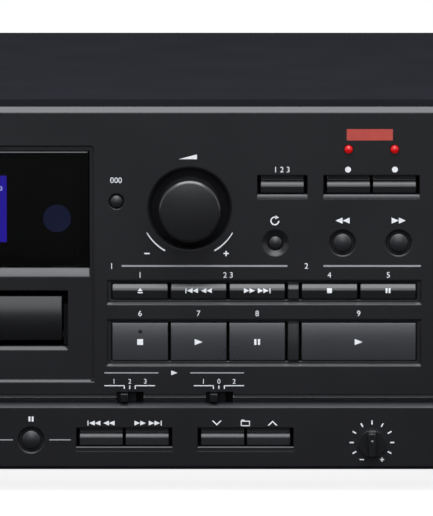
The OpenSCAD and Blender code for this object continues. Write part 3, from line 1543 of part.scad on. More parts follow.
module folder_down_button() bar_button(folder_x - lamp_pitch / 2, strip_bar, strip_y);
module folder_up_button() bar_button(folder_x + lamp_pitch / 2, strip_bar, strip_y);

front_panel();
chassis_base();
rear_panel();
top_cover();
feet();
case_screws();
display_window();
display_module();
record_lamps();
control_boards();
main_board();
power_transformer();
cd_loader_frame();
cd_traverse();
tape_deck_plate();
tape_motor();
drive_belt();
front_sockets();
rear_sockets();
cassette_door();
door_window();
cd_tray();
tray_gear();
cd_turntable();
cd_pickup();
supply_reel();
takeup_reel();
capstan_flywheel();
head_slide();
pinch_roller();
rec_level_knob();
pitch_knob();
phones_knob();
start_source_switch();
start_mode_switch();
power_button();
eject_button();
counter_reset_button();
source_button();
usb_record_button();
tape_record_button();
repeat_button();
rewind_button();
fast_forward_button();
cd_open_button();
cd_skip_back_button();
cd_skip_forward_button();
tape_stop_button();
tape_pause_button();
cd_stop_button();
cd_play_button();
cd_pause_button();
tape_play_button();
usb_stop_button();
usb_play_button();
usb_pause_button();
usb_skip_back_button();
usb_skip_forward_button();
folder_down_button();
folder_up_button();
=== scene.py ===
"""Looks of a deck that plays discs, cassettes and USB sticks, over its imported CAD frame.

Blender works in metres. Sizes on the object are named in millimetres, as in the part's source.
"""

import json
import logging
import math
from collections.abc import Sequence
from dataclasses import dataclass, replace
from enum import Enum

import bmesh
import bpy
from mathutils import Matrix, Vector
from mathutils.bvhtree import BVHTree

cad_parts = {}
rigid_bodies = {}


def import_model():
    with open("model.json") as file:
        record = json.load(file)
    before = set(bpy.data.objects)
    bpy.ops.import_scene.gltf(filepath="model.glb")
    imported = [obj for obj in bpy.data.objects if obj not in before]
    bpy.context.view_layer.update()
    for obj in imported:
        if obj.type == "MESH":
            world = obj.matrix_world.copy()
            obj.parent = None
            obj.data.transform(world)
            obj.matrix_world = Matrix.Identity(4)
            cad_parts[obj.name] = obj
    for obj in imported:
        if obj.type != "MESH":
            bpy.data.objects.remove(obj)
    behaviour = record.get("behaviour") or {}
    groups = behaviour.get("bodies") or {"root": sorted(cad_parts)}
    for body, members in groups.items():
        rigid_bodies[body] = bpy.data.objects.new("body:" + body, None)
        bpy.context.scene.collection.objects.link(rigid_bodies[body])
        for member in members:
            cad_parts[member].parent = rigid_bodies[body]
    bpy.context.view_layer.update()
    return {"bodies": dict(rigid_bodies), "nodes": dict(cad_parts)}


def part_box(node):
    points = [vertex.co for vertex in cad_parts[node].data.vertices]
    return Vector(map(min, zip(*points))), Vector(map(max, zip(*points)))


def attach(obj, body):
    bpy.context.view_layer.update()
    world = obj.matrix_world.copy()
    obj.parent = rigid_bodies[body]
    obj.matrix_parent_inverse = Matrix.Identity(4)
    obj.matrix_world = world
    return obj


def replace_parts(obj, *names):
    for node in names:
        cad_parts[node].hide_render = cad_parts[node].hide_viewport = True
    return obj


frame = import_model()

LOG = logging.getLogger("deck")
MM = 0.001
CABINET = "cabinet"
# Faces larger than this are flat on the real object, and are shaded flat
FLAT_AREA = 80 * MM * MM
# Points of a mesh that are closer than this are one point
SAME_POINT = 0.002 * MM
# Faces that meet at a smaller angle than this are one flat face
SAME_FACE = math.radians(0.5)
# Edges that bend more than this are softened
SHARP = math.radians(25)
EDGE_STEPS = 3
# A face whose normal has a smaller Y than this looks forwards
FORWARDS = -0.5
# A key's face and slope meet at a larger angle than this, in radians
BEND = 0.2
# The normal of a slope has a larger Z than this
UPWARDS = 0.3
CREASE_STEPS = 6
# Middle of the recording level knob, in millimetres
LEVEL_KNOB = (101.8, 107.1)

Point = tuple[float, float]
Spot = tuple[float, float, float]
Colour = tuple[float, float, float, float]
Outline = list[Point]
Sign = list[Outline]
Tree = bpy.types.NodeTree
Node = bpy.types.Node
Socket = bpy.types.NodeSocket
Piece = bpy.types.Object
Mesh = bmesh.types.BMesh


# Small helpers


def linear(colour: str) -> Colour:
    """Turns an sRGB hex colour into the linear one that shaders take.

    Args:
        colour: Six hex digits after a hash.

    Returns:
        Red, green, blue and an alpha of 1.
    """
    channels = [int(colour[i : i + 2], 16) / 255 for i in (1, 3, 5)]
    light = [c / 12.92 if c <= 0.04045 else ((c + 0.055) / 1.055) ** 2.4 for c in channels]
    return (light[0], light[1], light[2], 1.0)


def quarter(steps: int) -> list[float]:
    """Gives the angles of a quarter turn, in radians, from 0 to its end."""
    return [math.radians(90 / steps * k) for k in range(steps + 1)]


def body_of(node: str) -> str:
    """Finds the body that a CAD node belongs to.

    Args:
        node: Name of the CAD node.

    Returns:
        Name of its body.
    """
    parent = frame["nodes"][node].parent
    names = [name for name, empty in frame["bodies"].items() if empty == parent]
    return names[0] if names else CABINET


def box_mm(node: str) -> tuple[Vector, Vector]:
    """Finds the box of a CAD node.

    Args:
        node: Name of the CAD node.

    Returns:
        Its lowest and highest corners, in millimetres.
    """
    low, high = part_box(node)
    return low / MM, high / MM


def place(name: str, data: bpy.types.ID) -> Piece:
    """Puts a mesh, a camera or a lamp into the scene.

    Args:
        name: Name of the new object.
        data: What it shows.

    Returns:
        The object.
    """
    piece = bpy.data.objects.new(name, data)
    bpy.context.scene.collection.objects.link(piece)
    return piece


def baked(piece: Piece) -> bpy.types.Mesh:
    """Runs the modifiers of a piece.

    Args:
        piece: A piece that stays as it is.

    Returns:
        The mesh that its modifiers make.
    """
    bpy.context.view_layer.update()
    graph = bpy.context.evaluated_depsgraph_get()
    return bpy.data.meshes.new_from_object(piece.evaluated_get(graph))


# Nodes


def add_node(tree: Tree, kind: str, inputs: dict | None = None, **settings) -> Node:
    """Adds a node, links the inputs given as sockets and sets the others.

    Args:
        tree: The tree that takes the node.
        kind: Blender's name of the node type.
        inputs: Value or source socket by input name or index.
        **settings: Attributes of the node itself.

    Returns:
        The new node.
    """
    node = tree.nodes.new(kind)
    for key, value in settings.items():
        setattr(node, key, value)
    for key, value in (inputs or {}).items():
        if isinstance(value, Socket):
            tree.links.new(value, node.inputs[key])
        else:
            node.inputs[key].default_value = value
    return node


def reckon(tree: Tree, operation: str, *values: float | Socket, **settings) -> Socket:
    """Adds one step of arithmetic.

    Args:
        tree: The tree that takes it.
        operation: Blender's name of the step.
        *values: What goes in.
        **settings: Attributes of the node itself.

    Returns:
        The outcome.
    """
    step = add_node(tree, "ShaderNodeMath", dict(enumerate(values)), operation=operation, **settings)
    return step.outputs["Value"]


def ranged(tree: Tree, value: Socket, to: Point, start: Point = (0.0, 1.0)) -> Socket:
    """Maps a value from one span to another, and holds it there.

    Args:
        tree: The tree that takes the node.
        value: The value.
        to: Ends of the span that it is mapped to.
        start: Ends of the span that it comes from.

    Returns:
        The mapped value.
    """
    spans = {"From Min": start[0], "From Max": start[1], "To Min": to[0], "To Max": to[1]}
    return add_node(tree, "ShaderNodeMapRange", {"Value": value} | spans).outputs["Result"]


def vector(tree: Tree, **parts: float | Socket) -> Socket:
    """Joins the given parts X, Y and Z to a vector; the others are zero."""
    return add_node(tree, "ShaderNodeCombineXYZ", parts).outputs["Vector"]


def along(tree: Tree, source: Socket, axis: str) -> Socket:
    """Takes one part of a vector."""
    return add_node(tree, "ShaderNodeSeparateXYZ", {"Vector": source}).outputs[axis]


def noise(tree: Tree, coords: Socket, size_mm: float, detail: float) -> Socket:
    """Adds cloudy noise.

    Args:
        tree: The tree that takes it.
        coords: Where it is looked up.
        size_mm: Size of its clouds.
        detail: Octaves of finer clouds.

    Returns:
        Its level, from 0 to 1.
    """
    clouds = {"Vector": coords, "Scale": 1 / (size_mm * MM), "Detail": detail}
    return add_node(tree, "ShaderNodeTexNoise", clouds).outputs["Fac"]


def emboss(tree: Tree, shader: Node, height: Socket, depth_mm: float, normal: Socket | None = None) -> None:
    """Gives a shader a relief.

    Args:
        tree: Node tree of the material.
        shader: Its principled shader.
        height: Level of the relief, from 0 to 1.
        depth_mm: Depth of the relief.
        normal: The normals under it, if they aren't those of the mesh.
    """
    relief = {"Height": height, "Distance": depth_mm * MM}
    if normal:
        relief["Normal"] = normal
    bump = add_node(tree, "ShaderNodeBump", relief)
    tree.links.new(bump.outputs["Normal"], shader.inputs["Normal"])


def blend(tree: Tree, shader: Node, share: Socket, colours: tuple[str, str]) -> None:
    """Gives a shader a colour between two others.

    Args:
        tree: Node tree of the material.
        shader: Its principled shader.
        share: Share of the second colour.
        colours: The two colours, in hex.
    """
    mix = add_node(tree, "ShaderNodeMix", {"Factor": share}, data_type="RGBA")
    for name, colour in zip("AB", colours):
        mix.inputs[name].default_value = linear(colour)
    tree.links.new(mix.outputs["Result"], shader.inputs["Base Color"])


# Finishes


@dataclass(frozen=True)
class Finish:
    """What every finish shares: its name, its colour and how it shines."""

    name: str
    colour: str
    roughness: float = 0.5
    specular: float = 0.5
    metallic: float = 0.0

    def shade(self, tree: Tree, shader: Node, coords: Socket) -> None:
        """Adds what sets this finish apart.

        Args:
            tree: Node tree of the material.
            shader: Its principled shader.
            coords: Object coordinates, in metres.
        """

    def build(self) -> bpy.types.Material:
        """Makes the material once, and finds it again after that.

        Returns:
            The material.
        """
        known = bpy.data.materials.get(self.name)
        if known:
            return known
        material = bpy.data.materials.new(self.name)
        material.use_nodes = True
        tree = material.node_tree
        shader = tree.nodes["Principled BSDF"]
        shader.inputs["Base Color"].default_value = linear(self.colour)
        shader.inputs["Roughness"].default_value = self.roughness
        shader.inputs["Specular IOR Level"].default_value = self.specular
        shader.inputs["Metallic"].default_value = self.metallic
        material.diffuse_color = linear(self.colour)
        self.shade(tree, shader, add_node(tree, "ShaderNodeTexCoord").outputs["Object"])
        return material


@dataclass(frozen=True)
class Grained(Finish):
    """A skin with fine relief and a colour that wanders a little, as on moulded or coated parts."""

    grain_mm: float = 0.5
    relief_mm: float = 0.004
    wander: float = 0.12
    wander_mm: float = 30.0
    edge_mm: float = 0.0
    painted_shade_on_tops: bool = False
    painted_shade_below_y: float = 0.0

    # Most of a noise texture lies between these values
    core = (0.3, 0.7)
    # How far a normal points up where a face begins to be level, and where it is level
    level = (0.93, 0.99)
    # Painted shade in recesses: deep floors keep this share of their shine, and lose the rest over this depth
    # in millimetres
    deep_shine = 0.1
    deep_fade = 1.0

    def shade(self, tree: Tree, shader: Node, coords: Socket) -> None:
        """Adds the relief, the wandering colour, worn-in edges and, where set, painted shade that takes the
        shine off level faces and deep floors.
        """
        cloud = noise(tree, coords, self.wander_mm, detail=3.0)
        tone = ranged(tree, cloud, (1 - self.wander, 1 + self.wander), self.core)
        parts = {0: linear(self.colour)[:3], "Scale": tone}
        tint = add_node(tree, "ShaderNodeVectorMath", parts, operation="SCALE")
        tree.links.new(tint.outputs["Vector"], shader.inputs["Base Color"])
        gloss = reckon(tree, "MULTIPLY", tone, self.roughness, use_clamp=True)
        tree.links.new(gloss, shader.inputs["Roughness"])
        # Painted shade: level faces, and floors deeper than a set depth, lose their shine
        if self.painted_shade_on_tops:
            self.dull(tree, shader, coords)
        grain = noise(tree, coords, self.grain_mm, detail=2.0)
        normal = None
        if self.edge_mm:
            edge = add_node(tree, "ShaderNodeBevel", {"Radius": self.edge_mm * MM}, samples=6)
            normal = edge.outputs["Normal"]
        emboss(tree, shader, grain, self.relief_mm, normal)

    def dull(self, tree: Tree, shader: Node, coords: Socket) -> None:
        """Takes the shine off level faces and deep floors as painted shade, so that tops and recesses stay
        dark.

        Args:
            tree: Node tree of the material.
            shader: Its principled shader.
            coords: Object coordinates, in metres.
        """
        facing = add_node(tree, "ShaderNodeNewGeometry").outputs["True Normal"]
        shine = ranged(tree, along(tree, facing, "Z"), (self.specular, 0.0), self.level)
        if self.painted_shade_below_y:
            fade = ((self.painted_shade_below_y - self.deep_fade) * MM, self.painted_shade_below_y * MM)
            deep = ranged(tree, along(tree, coords, "Y"), (1.0, self.deep_shine), fade)
            shine = reckon(tree, "MULTIPLY", shine, deep)
        tree.links.new(shine, shader.inputs["Specular IOR Level"])


@dataclass(frozen=True)
class Drawn(Finish):
    """Sheet or turned metal with fine lines along one axis."""

    line_mm: float = 0.3
    relief_mm: float = 0.002
    uneven: float = 0.12
    stretch: Spot = (0.02, 1.0, 1.0)

    def shade(self, tree: Tree, shader: Node, coords: Socket) -> None:
        """Adds drawn lines that change the shine and the relief."""
        pulled = add_node(tree, "ShaderNodeVectorMath", {0: coords, 1: self.stretch}, operation="MULTIPLY")
        lines = noise(tree, pulled.outputs["Vector"], self.line_mm, detail=3.0)
        gloss = ranged(tree, lines, (self.roughness - self.uneven, self.roughness + self.uneven))
        tree.links.new(gloss, shader.inputs["Roughness"])
        emboss(tree, shader, lines, self.relief_mm)


@dataclass(frozen=True)
class Acrylic(Finish):
    """Clear or smoked acrylic, with the faint ripple of a moulded pane."""

    ripple_mm: float = 14.0
    relief_mm: float = 0.004
    index: float = 1.49

    def shade(self, tree: Tree, shader: Node, coords: Socket) -> None:
        """Lets light through and adds the ripple."""
        shader.inputs["Transmission Weight"].default_value = 1.0
        shader.inputs["IOR"].default_value = self.index
        ripple = noise(tree, coords, self.ripple_mm, detail=1.0)
        emboss(tree, shader, ripple, self.relief_mm)


@dataclass(frozen=True)
class Lit(Finish):
    """A piece that shines by itself, such as a lamp lens or a backlit display, or a part given a painted glow
    or highlight.
    """

    glow: float = 1.0
    cell_mm: float = 0.5
    cell_dip: float = 0.1

    def shade(self, tree: Tree, shader: Node, coords: Socket) -> None:
        """Adds light from inside, over a fine pattern of cells."""
        pattern = {"Vector": coords, "Scale": 1 / (self.cell_mm * MM)}
        cells = add_node(tree, "ShaderNodeTexVoronoi", pattern, distance="CHEBYCHEV")
        level = ranged(tree, cells.outputs["Distance"], (self.glow, self.glow * (1 - self.cell_dip)))
        shader.inputs["Emission Color"].default_value = linear(self.colour)
        tree.links.new(level, shader.inputs["Emission Strength"])


@dataclass(frozen=True)
class Banded(Finish):
    """Rows of a second colour: tracks on a board or turns of a winding."""

    second: str = "#ffffff"
    band_mm: float = 2.0
    share: float = 0.5
    soft: float = 0.1
    relief_mm: float = 0.05
    direction: str = "Z"

    # Blender's wave texture has about this many bands in a unit at scale 1
    waves = 3.2
    sway = 1.5

    def shade(self, tree: Tree, shader: Node, coords: Socket) -> None:
        """Adds the bands, which wander a little as hand-laid rows do."""
        scale = 1 / (self.waves * self.band_mm * MM)
        rows = {"Vector": coords, "Scale": scale, "Distortion": self.sway, "Detail": 1.0}
        wave = add_node(tree, "ShaderNodeTexWave", rows, bands_direction=self.direction).outputs["Fac"]
        edge = (self.share - self.soft, self.share + self.soft)
        blend(tree, shader, ranged(tree, wave, (0.0, 1.0), edge), (self.colour, self.second))
        emboss(tree, shader, wave, self.relief_mm)


@dataclass(frozen=True)
class Faded(Finish):
    """A card that is darkest beside the object and lighter away from it."""

    far: str = "#808080"
    reach: Point = (-0.25, -1.6)

    def shade(self, tree: Tree, shader: Node, coords: Socket) -> None:
        """Adds the change from near to far."""
        way = ranged(tree, along(tree, coords, "Y"), (0.0, 1.0), self.reach)
        blend(tree, shader, way, (self.colour, self.far))


def moulded(name: str, colour: str, roughness: float, specular: float, relief_mm: float = 0.002) -> Grained:
    """Gives the smooth plastic of keys and knobs."""
    return Grained(name, colour, roughness, specular, grain_mm=0.3, relief_mm=relief_mm, wander=0.04)


def printed(name: str, colour: str, wander_mm: float = 3.0) -> Grained:
    """Gives a flat screen-printed ink, a little uneven."""
    return Grained(name, colour, 0.6, 0.3, grain_mm=0.2, relief_mm=0.002, wander=0.05, wander_mm=wander_mm)


# Matt black styrene, stamped over the upper side of the bead over the strip as painted shade that dims its
# highlight
SHADE = Grained("matt_black_styrene_painted_shade", "#17171a", 0.5, 0.1, grain_mm=0.35, relief_mm=0.003, wander=0.05)
# The rest of the front is satin: a grain too fine to see that widens every reflection; its level faces and
# deep floors get painted shade, with no shine
PANEL = replace(
    SHADE,
    name="satin_black_styrene",
    roughness=0.33,
    specular=0.5,
    edge_mm=0.7,
    painted_shade_on_tops=True,
    painted_shade_below_y=-128.5,
)
# The lips of the button slots have the same skin, and their curves are modelled
LIPS = replace(PANEL, name="satin_black_styrene_lip", edge_mm=0.0)
# The ledge over the strip is a little glossier
LEDGE = replace(LIPS, name="semi_gloss_black_styrene", specular=0.95)
# Key caps are the same plastic from a smoother tool, so their slopes catch more light
KEYS = moulded("smooth_black_key_plastic", "#101012", 0.26, 0.6)
# Tall keys are moulded in a greyer plastic, which shows their curved faces
TALL_KEYS = moulded("dark_grey_key_plastic", "#2e2e32", 0.28, 0.65)
# Round buttons have a satin skin, so that light fades over their domes
ROUNDS = moulded("satin_black_button_plastic", "#1d1d20", 0.42, 0.55)
# Bar buttons on the strip are the same plastic with a little more sheen
STRIP_KEYS = replace(ROUNDS, name="soft_sheen_black_button_plastic", roughness=0.32, specular=0.6)
# The tray front has a soft sheen that shows its curve
TRAY = moulded("soft_sheen_black_tray_plastic", "#121214", 0.27, 0.5)
# Knobs are polished, so that a lamp draws a thin bright line along their rims
KNOBS = moulded("polished_black_knob_plastic", "#161618", 0.24, 0.85, 0.001)
# The rear plate has a smooth grade of powder coat
REAR = Grained("smooth_black_powder_coat", "#202024", 0.55, 0.3, grain_mm=0.7, relief_mm=0.02, wander=0.06)
# The coarser coat of the cover scatters nearly all light, and its top also gets painted shade with no shine
# on level faces, which keeps it dark under a lamp
COVER = replace(REAR, name="fine_textured_black_powder_coat", roughness=0.7, relief_mm=0.03, painted_shade_on_tops=True)
# Unpainted zinc-plated sheet, dull with drawn lines
ZINC = Drawn("zinc_plated_sheet_steel", "#9a9c9c", 0.42, metallic=1.0)
# Turned steel of shafts and guide rods
STEEL = Drawn("turned_bright_steel", "#b8babc", 0.25, metallic=1.0, line_mm=0.2)
# Blackened steel of the case screws, with a low oily shine
STEEL_BLACK = Drawn("blackened_screw_steel", "#2a2a2c", 0.38, metallic=1.0, line_mm=0.4)
# Nickel of sockets, smoother and warmer than zinc
NICKEL = Drawn("bright_nickel_plate", "#c2beb6", 0.2, metallic=1.0, line_mm=0.25)
# Dull black of plain inner mouldings
INNER = Grained("dull_black_inner_moulding", "#101012", 0.6, 0.3, grain_mm=0.8, relief_mm=0.008)
# Rubber shows almost no highlight and a dusty tone
RUBBER = Grained(
    "matt_black_rubber", "#1a1a1a", 0.8, 0.25, grain_mm=0.4, relief_mm=0.01, wander=0.2, wander_mm=6.0
)
# White acetal gear, slightly waxy
ACETAL = Grained("waxy_white_acetal", "#dcd9cf", 0.4, 0.5, wander=0.03)
# Smoked pane in front of the display: nearly black until something shines behind it
SMOKED = Acrylic("smoked_gloss_acrylic", "#6a6a70", 0.04)
# A thin line along the upper edge of that pane glows: painted highlight where the edge would catch light
EDGE_HIGHLIGHT = Lit("painted_highlight_acrylic_edge", "#8a8d92", 0.25, glow=0.34, cell_mm=3.0, cell_dip=0.2)
# Door window: a lighter smoke that shows the reels
DOOR_PANE = Acrylic("light_smoked_acrylic", "#8c8f94", 0.03)
# White ink of the signs, thinner grey ink of the lines that group the keys, and the red plate over the lamps
INK = printed("screen_printed_white_ink", "#dcdde0")
LINE_INK = printed("screen_printed_grey_ink", "#8e8f93")
RED_INK = printed("screen_printed_red_ink", "#a8423a", 4.0)
# Red lamp lens, lit from inside
LAMP = Lit("lit_red_lamp_lens", "#b80c10", 0.12, glow=0.25, cell_mm=1.5, cell_dip=0.3)
# Backlit blue display, with a cell pattern at the size of its dots
LCD = Lit("backlit_blue_display", "#2c1ea0", 0.3, glow=5.2, cell_mm=0.45, cell_dip=0.15)
LCD_INK = Lit("lit_white_display_segments", "#dfe6ff", 0.4, glow=5.0, cell_mm=0.45, cell_dip=0.1)
# Remote sensor behind the pane: a deep blue filter given a painted glow, though no lamp lights it
FILTER_GLOW = Lit("deep_blue_sensor_filter_painted_glow", "#3c4674", 0.3, glow=1.0, cell_mm=6.0, cell_dip=0.3)
# Green solder mask over copper tracks
BOARD = Banded("green_solder_mask_board", "#0d3b22", 0.35, second="#17603a", band_mm=1.6, direction="X")
# The boards behind the keys have a black mask, so that nothing shows in the gaps
BLACK_BOARD = Banded("black_solder_mask_board", "#0b0b0c", 0.5, second="#141415", band_mm=1.6, direction="X")
# Enamelled copper, turn beside turn
COPPER = Banded("enamelled_copper_winding", "#8a4a20", 0.35, metallic=0.6, second="#b4692f", band_mm=0.9)
# White and red socket inserts on the back
SOCKET_INSERTS = (
    Grained("white_socket_plastic", "#d8d6d0", 0.4, wander=0.05),
    Grained("red_socket_plastic", "#b01c1c", 0.4, wander=0.05),
)


# Meshes


def weigh_normals(piece: Piece) -> None:
    """Keeps large flat faces flat where they meet rounded edges.

    Args:
        piece: A mesh object with no other modifiers.
    """
    modifier = piece.modifiers.new("weigh", "WEIGHTED_NORMAL")
    modifier.keep_sharp = True
    made = baked(piece)
    piece.modifiers.clear()
    piece.data = made


def add_piece(name: str, bm: Mesh, finish: Finish, body: str, smooth_deg: float = 30.0) -> Piece:
    """Turns a mesh in progress into a piece that rides a body.

    Args:
        name: Name of the piece.
        bm: The mesh, in metres, at rest. It is freed.
        finish: Its finish.
        body: The body that carries it.
        smooth_deg: Edges flatter than this are shaded smooth.

    Returns:
        The new object.
    """
    mesh = bpy.data.meshes.new(name)
    for face in bm.faces:
        face.smooth = face.calc_area() < FLAT_AREA
    bm.to_mesh(mesh)
    bm.free()
    mesh.set_sharp_from_angle(angle=math.radians(smooth_deg))
    mesh.materials.append(finish.build())
    piece = place(name, mesh)
    weigh_normals(piece)
    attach(piece, body)
    LOG.info("%s: %d faces on %s", name, len(mesh.polygons), body)
    return piece


def paint(node: str, finish: Finish) -> None:
    """Gives a CAD node its finish.

    Args:
        node: Name of the CAD node.
        finish: The finish.
    """
    shown = frame["nodes"][node]
    if shown.material_slots:
        for slot in shown.material_slots:
            slot.material = finish.build()
    else:
        shown.data.materials.append(finish.build())
    LOG.info("%s painted %s", node, finish.name)


def merged(node: str) -> Mesh:
    """Copies a CAD node as one joined mesh with whole flat faces.

    Args:
        node: Name of the CAD node.

    Returns:
        The mesh, in metres.
    """
    bm = bmesh.new()
    bm.from_mesh(frame["nodes"][node].data)
    bmesh.ops.remove_doubles(bm, verts=bm.verts, dist=SAME_POINT)
    bmesh.ops.dissolve_limit(bm, angle_limit=SAME_FACE, verts=bm.verts, edges=bm.edges)
    return bm


def soften(bm: Mesh, edges: list[bmesh.types.BMEdge], width_mm: float, steps: int) -> None:
    """Rounds some edges of a mesh.

    Args:
        bm: The mesh, in metres.
        edges: Its edges to round.
        width_mm: Reach of the rounding on each face.
        steps: Faces across the rounding.
    """
    bmesh.ops.bevel(
        bm,
        geom=edges,
        offset=width_mm * MM,
        offset_type="OFFSET",
        segments=steps,
        profile=0.5,
        affect="EDGES",
        clamp_overlap=True,
    )


@dataclass(frozen=True)
class Crease:
    """The bend between a key's face and the slope over it, in millimetres.

    Attributes:
        reach: Reach of its rounding.
        up: How far the slope starts higher than in the solid.
        out: How far the slope ends further forwards than in the solid.
    """

    reach: float
    up: float = 0.0
    out: float = 0.0

    def bends(self, bm: Mesh) -> list[bmesh.types.BMEdge]:
        """Finds the edges between two faces that both look forwards.

        Args:
            bm: The mesh of the key.

        Returns:
            The edges.
        """
        found = []
        for edge in bm.edges:
            normals = [face.normal for face in edge.link_faces]
            forwards = len(normals) == 2 and max(n.y for n in normals) < FORWARDS
            if forwards and normals[0].angle(normals[1]) > BEND:
                found.append(edge)
        return found

    def shape(self, bm: Mesh) -> None:
        """Shifts the slope and rounds the bend.

        Args:
            bm: The mesh of the key.
        """
        bends = self.bends(bm)
        starts = {v for e in bends for v in e.verts}
        slopes = {f for e in bends for f in e.link_faces if f.normal.z > UPWARDS}
        for vert in {v for f in slopes for v in f.verts} - starts:
            vert.co.y -= self.out * MM
        for vert in starts:
            vert.co.z += self.up * MM
        soften(bm, bends, self.reach, CREASE_STEPS)


def skin(
    node: str,
    finish: Finish,
    edge_mm: float = 0.0,
    before_y: float = math.inf,
    crease: Crease | None = None,
) -> Piece:
    """Replaces a CAD node by a copy with softened edges.

    Args:
        node: Name of the CAD node.
        finish: Finish of the copy.
        edge_mm: Width of the softening; none at zero.
        before_y: Only edges in front of this depth, in millimetres, are softened.
        crease: How a key's face bends into its slope, if it does.

    Returns:
        The copy.
    """
    bm = merged(node)
    if crease:
        crease.shape(bm)
    if edge_mm:
        sharp = [e for e in bm.edges if len(e.link_faces) == 2 and e.calc_face_angle(0.0) > SHARP]
        edges = [e for e in sharp if max(v.co.y for v in e.verts) < before_y * MM]
        soften(bm, edges, edge_mm, EDGE_STEPS)
    piece = add_piece(node + "_skin", bm, finish, body_of(node))
    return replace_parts(piece, node)


def lathe(profile: Sequence[Point], x: float, z: float, steps: int) -> Mesh:
    """Turns a profile about an axis that runs to the rear.

    Args:
        profile: Radius and depth along Y, in millimetres, from the middle of the front outwards.
        x: Place of the axis, in millimetres.
        z: Height of the axis, in millimetres.
        steps: Faces round the axis.

    Returns:
        The mesh, in metres.
    """
    bm = bmesh.new()
    turn = [2 * math.pi * i / steps for i in range(steps)]
    rings = []
    for r, y in profile:
        around = turn if r else turn[:1]
        spots = [((x + r * math.sin(a)) * MM, y * MM, (z + r * math.cos(a)) * MM) for a in around]
        rings.append([bm.verts.new(spot) for spot in spots])
    for a, b in zip(rings, rings[1:]):
        for i in range(steps):
            corners = [a[i % len(a)], a[(i + 1) % len(a)], b[(i + 1) % len(b)], b[i % len(b)]]
            face = list(dict.fromkeys(corners))
            if len(face) > 2:
                bm.faces.new(face)
    bmesh.ops.recalc_face_normals(bm, faces=bm.faces)
    return bm


def runs(parts: Sequence[tuple[Outline, float, float]]) -> Mesh:
    """Builds bars that run across the deck.

    Args:
        parts: Section in Y and Z, first X and last X of each bar.

    Returns:
        The bars, in metres.
    """
    bm = bmesh.new()
    for outline, x0, x1 in parts:
        ends = [[bm.verts.new((x * MM, y * MM, z * MM)) for y, z in outline] for x in (x0, x1)]
        for face in ends:
            bm.faces.new(face)
        for i in range(len(outline)):
            k = (i + 1) % len(outline)
            bm.faces.new([ends[0][i], ends[0][k], ends[1][k], ends[1][i]])
    bmesh.ops.recalc_face_normals(bm, faces=bm.faces)
    return bm


def face_front(bm: Mesh) -> None:
    """Turns all faces of a mesh to the front."""
    for face in bm.faces:
        face.normal_update()
        if face.normal.y > 0:
            face.normal_flip()


# Signs, drawn in millimetres about their own middle


def bar(w: float, h: float, x: float = 0.0, z: float = 0.0) -> Outline:
    """Gives a rectangle about (x, z)."""
    return [(x - w / 2, z - h / 2), (x + w / 2, z - h / 2), (x + w / 2, z + h / 2), (x - w / 2, z + h / 2)]


def plate(x0: float, x1: float, z0: float, z1: float) -> Outline:
    """Gives a rectangle between its sides."""
    return bar(x1 - x0, z1 - z0, (x0 + x1) / 2, (z0 + z1) / 2)


def line(x0: float, x1: float, z: float, thick: float) -> Outline:
    """Gives a level line from x0 to x1."""
    return bar(x1 - x0, thick, (x0 + x1) / 2, z)


def plus(w: float, thick: float, arm: float, off: float) -> Sign:
    """Gives a plus: a level stroke, and an arm on each side of it."""
    return [bar(w, thick), bar(thick, arm, 0.0, off), bar(thick, arm, 0.0, -off)]


def arrow(w: float, h: float, x: float = 0.0) -> Outline:
    """Gives a triangle that points right, or left where w is negative."""
    return [(x - w / 2, -h / 2), (x + w / 2, 0.0), (x - w / 2, h / 2)]


def disc(r: float, steps: int = 40) -> Outline:
    """Gives a full circle about the middle."""
    turn = [2 * math.pi * i / steps for i in range(steps)]
    return [(r * math.cos(a), r * math.sin(a)) for a in turn]


def ring(r: float, a0: float, a1: float, t0: float, t1: float, steps: int = 24) -> Sign:
    """Gives an arc from angle a0 to a1, in degrees from +X, whose thickness runs from t0 to t1."""
    quads = []
    for i in range(steps):
        corners = []
        for k, sides in ((i, (-0.5, 0.5)), (i + 1, (0.5, -0.5))):
            share = k / steps
            angle = math.radians(a0 + (a1 - a0) * share)
            thick = t0 + (t1 - t0) * share
            corners += [((r + s * thick) * math.cos(angle), (r + s * thick) * math.sin(angle)) for s in sides]
        quads.append(corners)
    return quads


def moved(sign: Sign, x: float, z: float) -> Sign:
    """Moves a sign to (x, z)."""
    return [[(px + x, pz + z) for px, pz in outline] for outline in sign]


def number(text: str, height: float) -> Sign:
    """Draws plain figures with Blender's own font.

    Args:
        text: The figures.
        height: Their height, in millimetres.

    Returns:
        Their faces, centred.
    """
    curve = bpy.data.curves.new("figures", "FONT")
    curve.body = text
    holder = bpy.data.objects.new("figures", curve)
    mesh = holder.to_mesh()
    corners = [v.co for v in mesh.vertices]
    x0, x1 = min(c.x for c in corners), max(c.x for c in corners)
    z0, z1 = min(c.y for c in corners), max(c.y for c in corners)
    scale = height / (z1 - z0)
    spots = [((c.x - (x0 + x1) / 2) * scale, (c.y - (z0 + z1) / 2) * scale) for c in corners]
    faces = [[spots[i] for i in face.vertices] for face in mesh.polygons]
    holder.to_mesh_clear()
    bpy.data.objects.remove(holder)
    bpy.data.curves.remove(curve)
    return faces


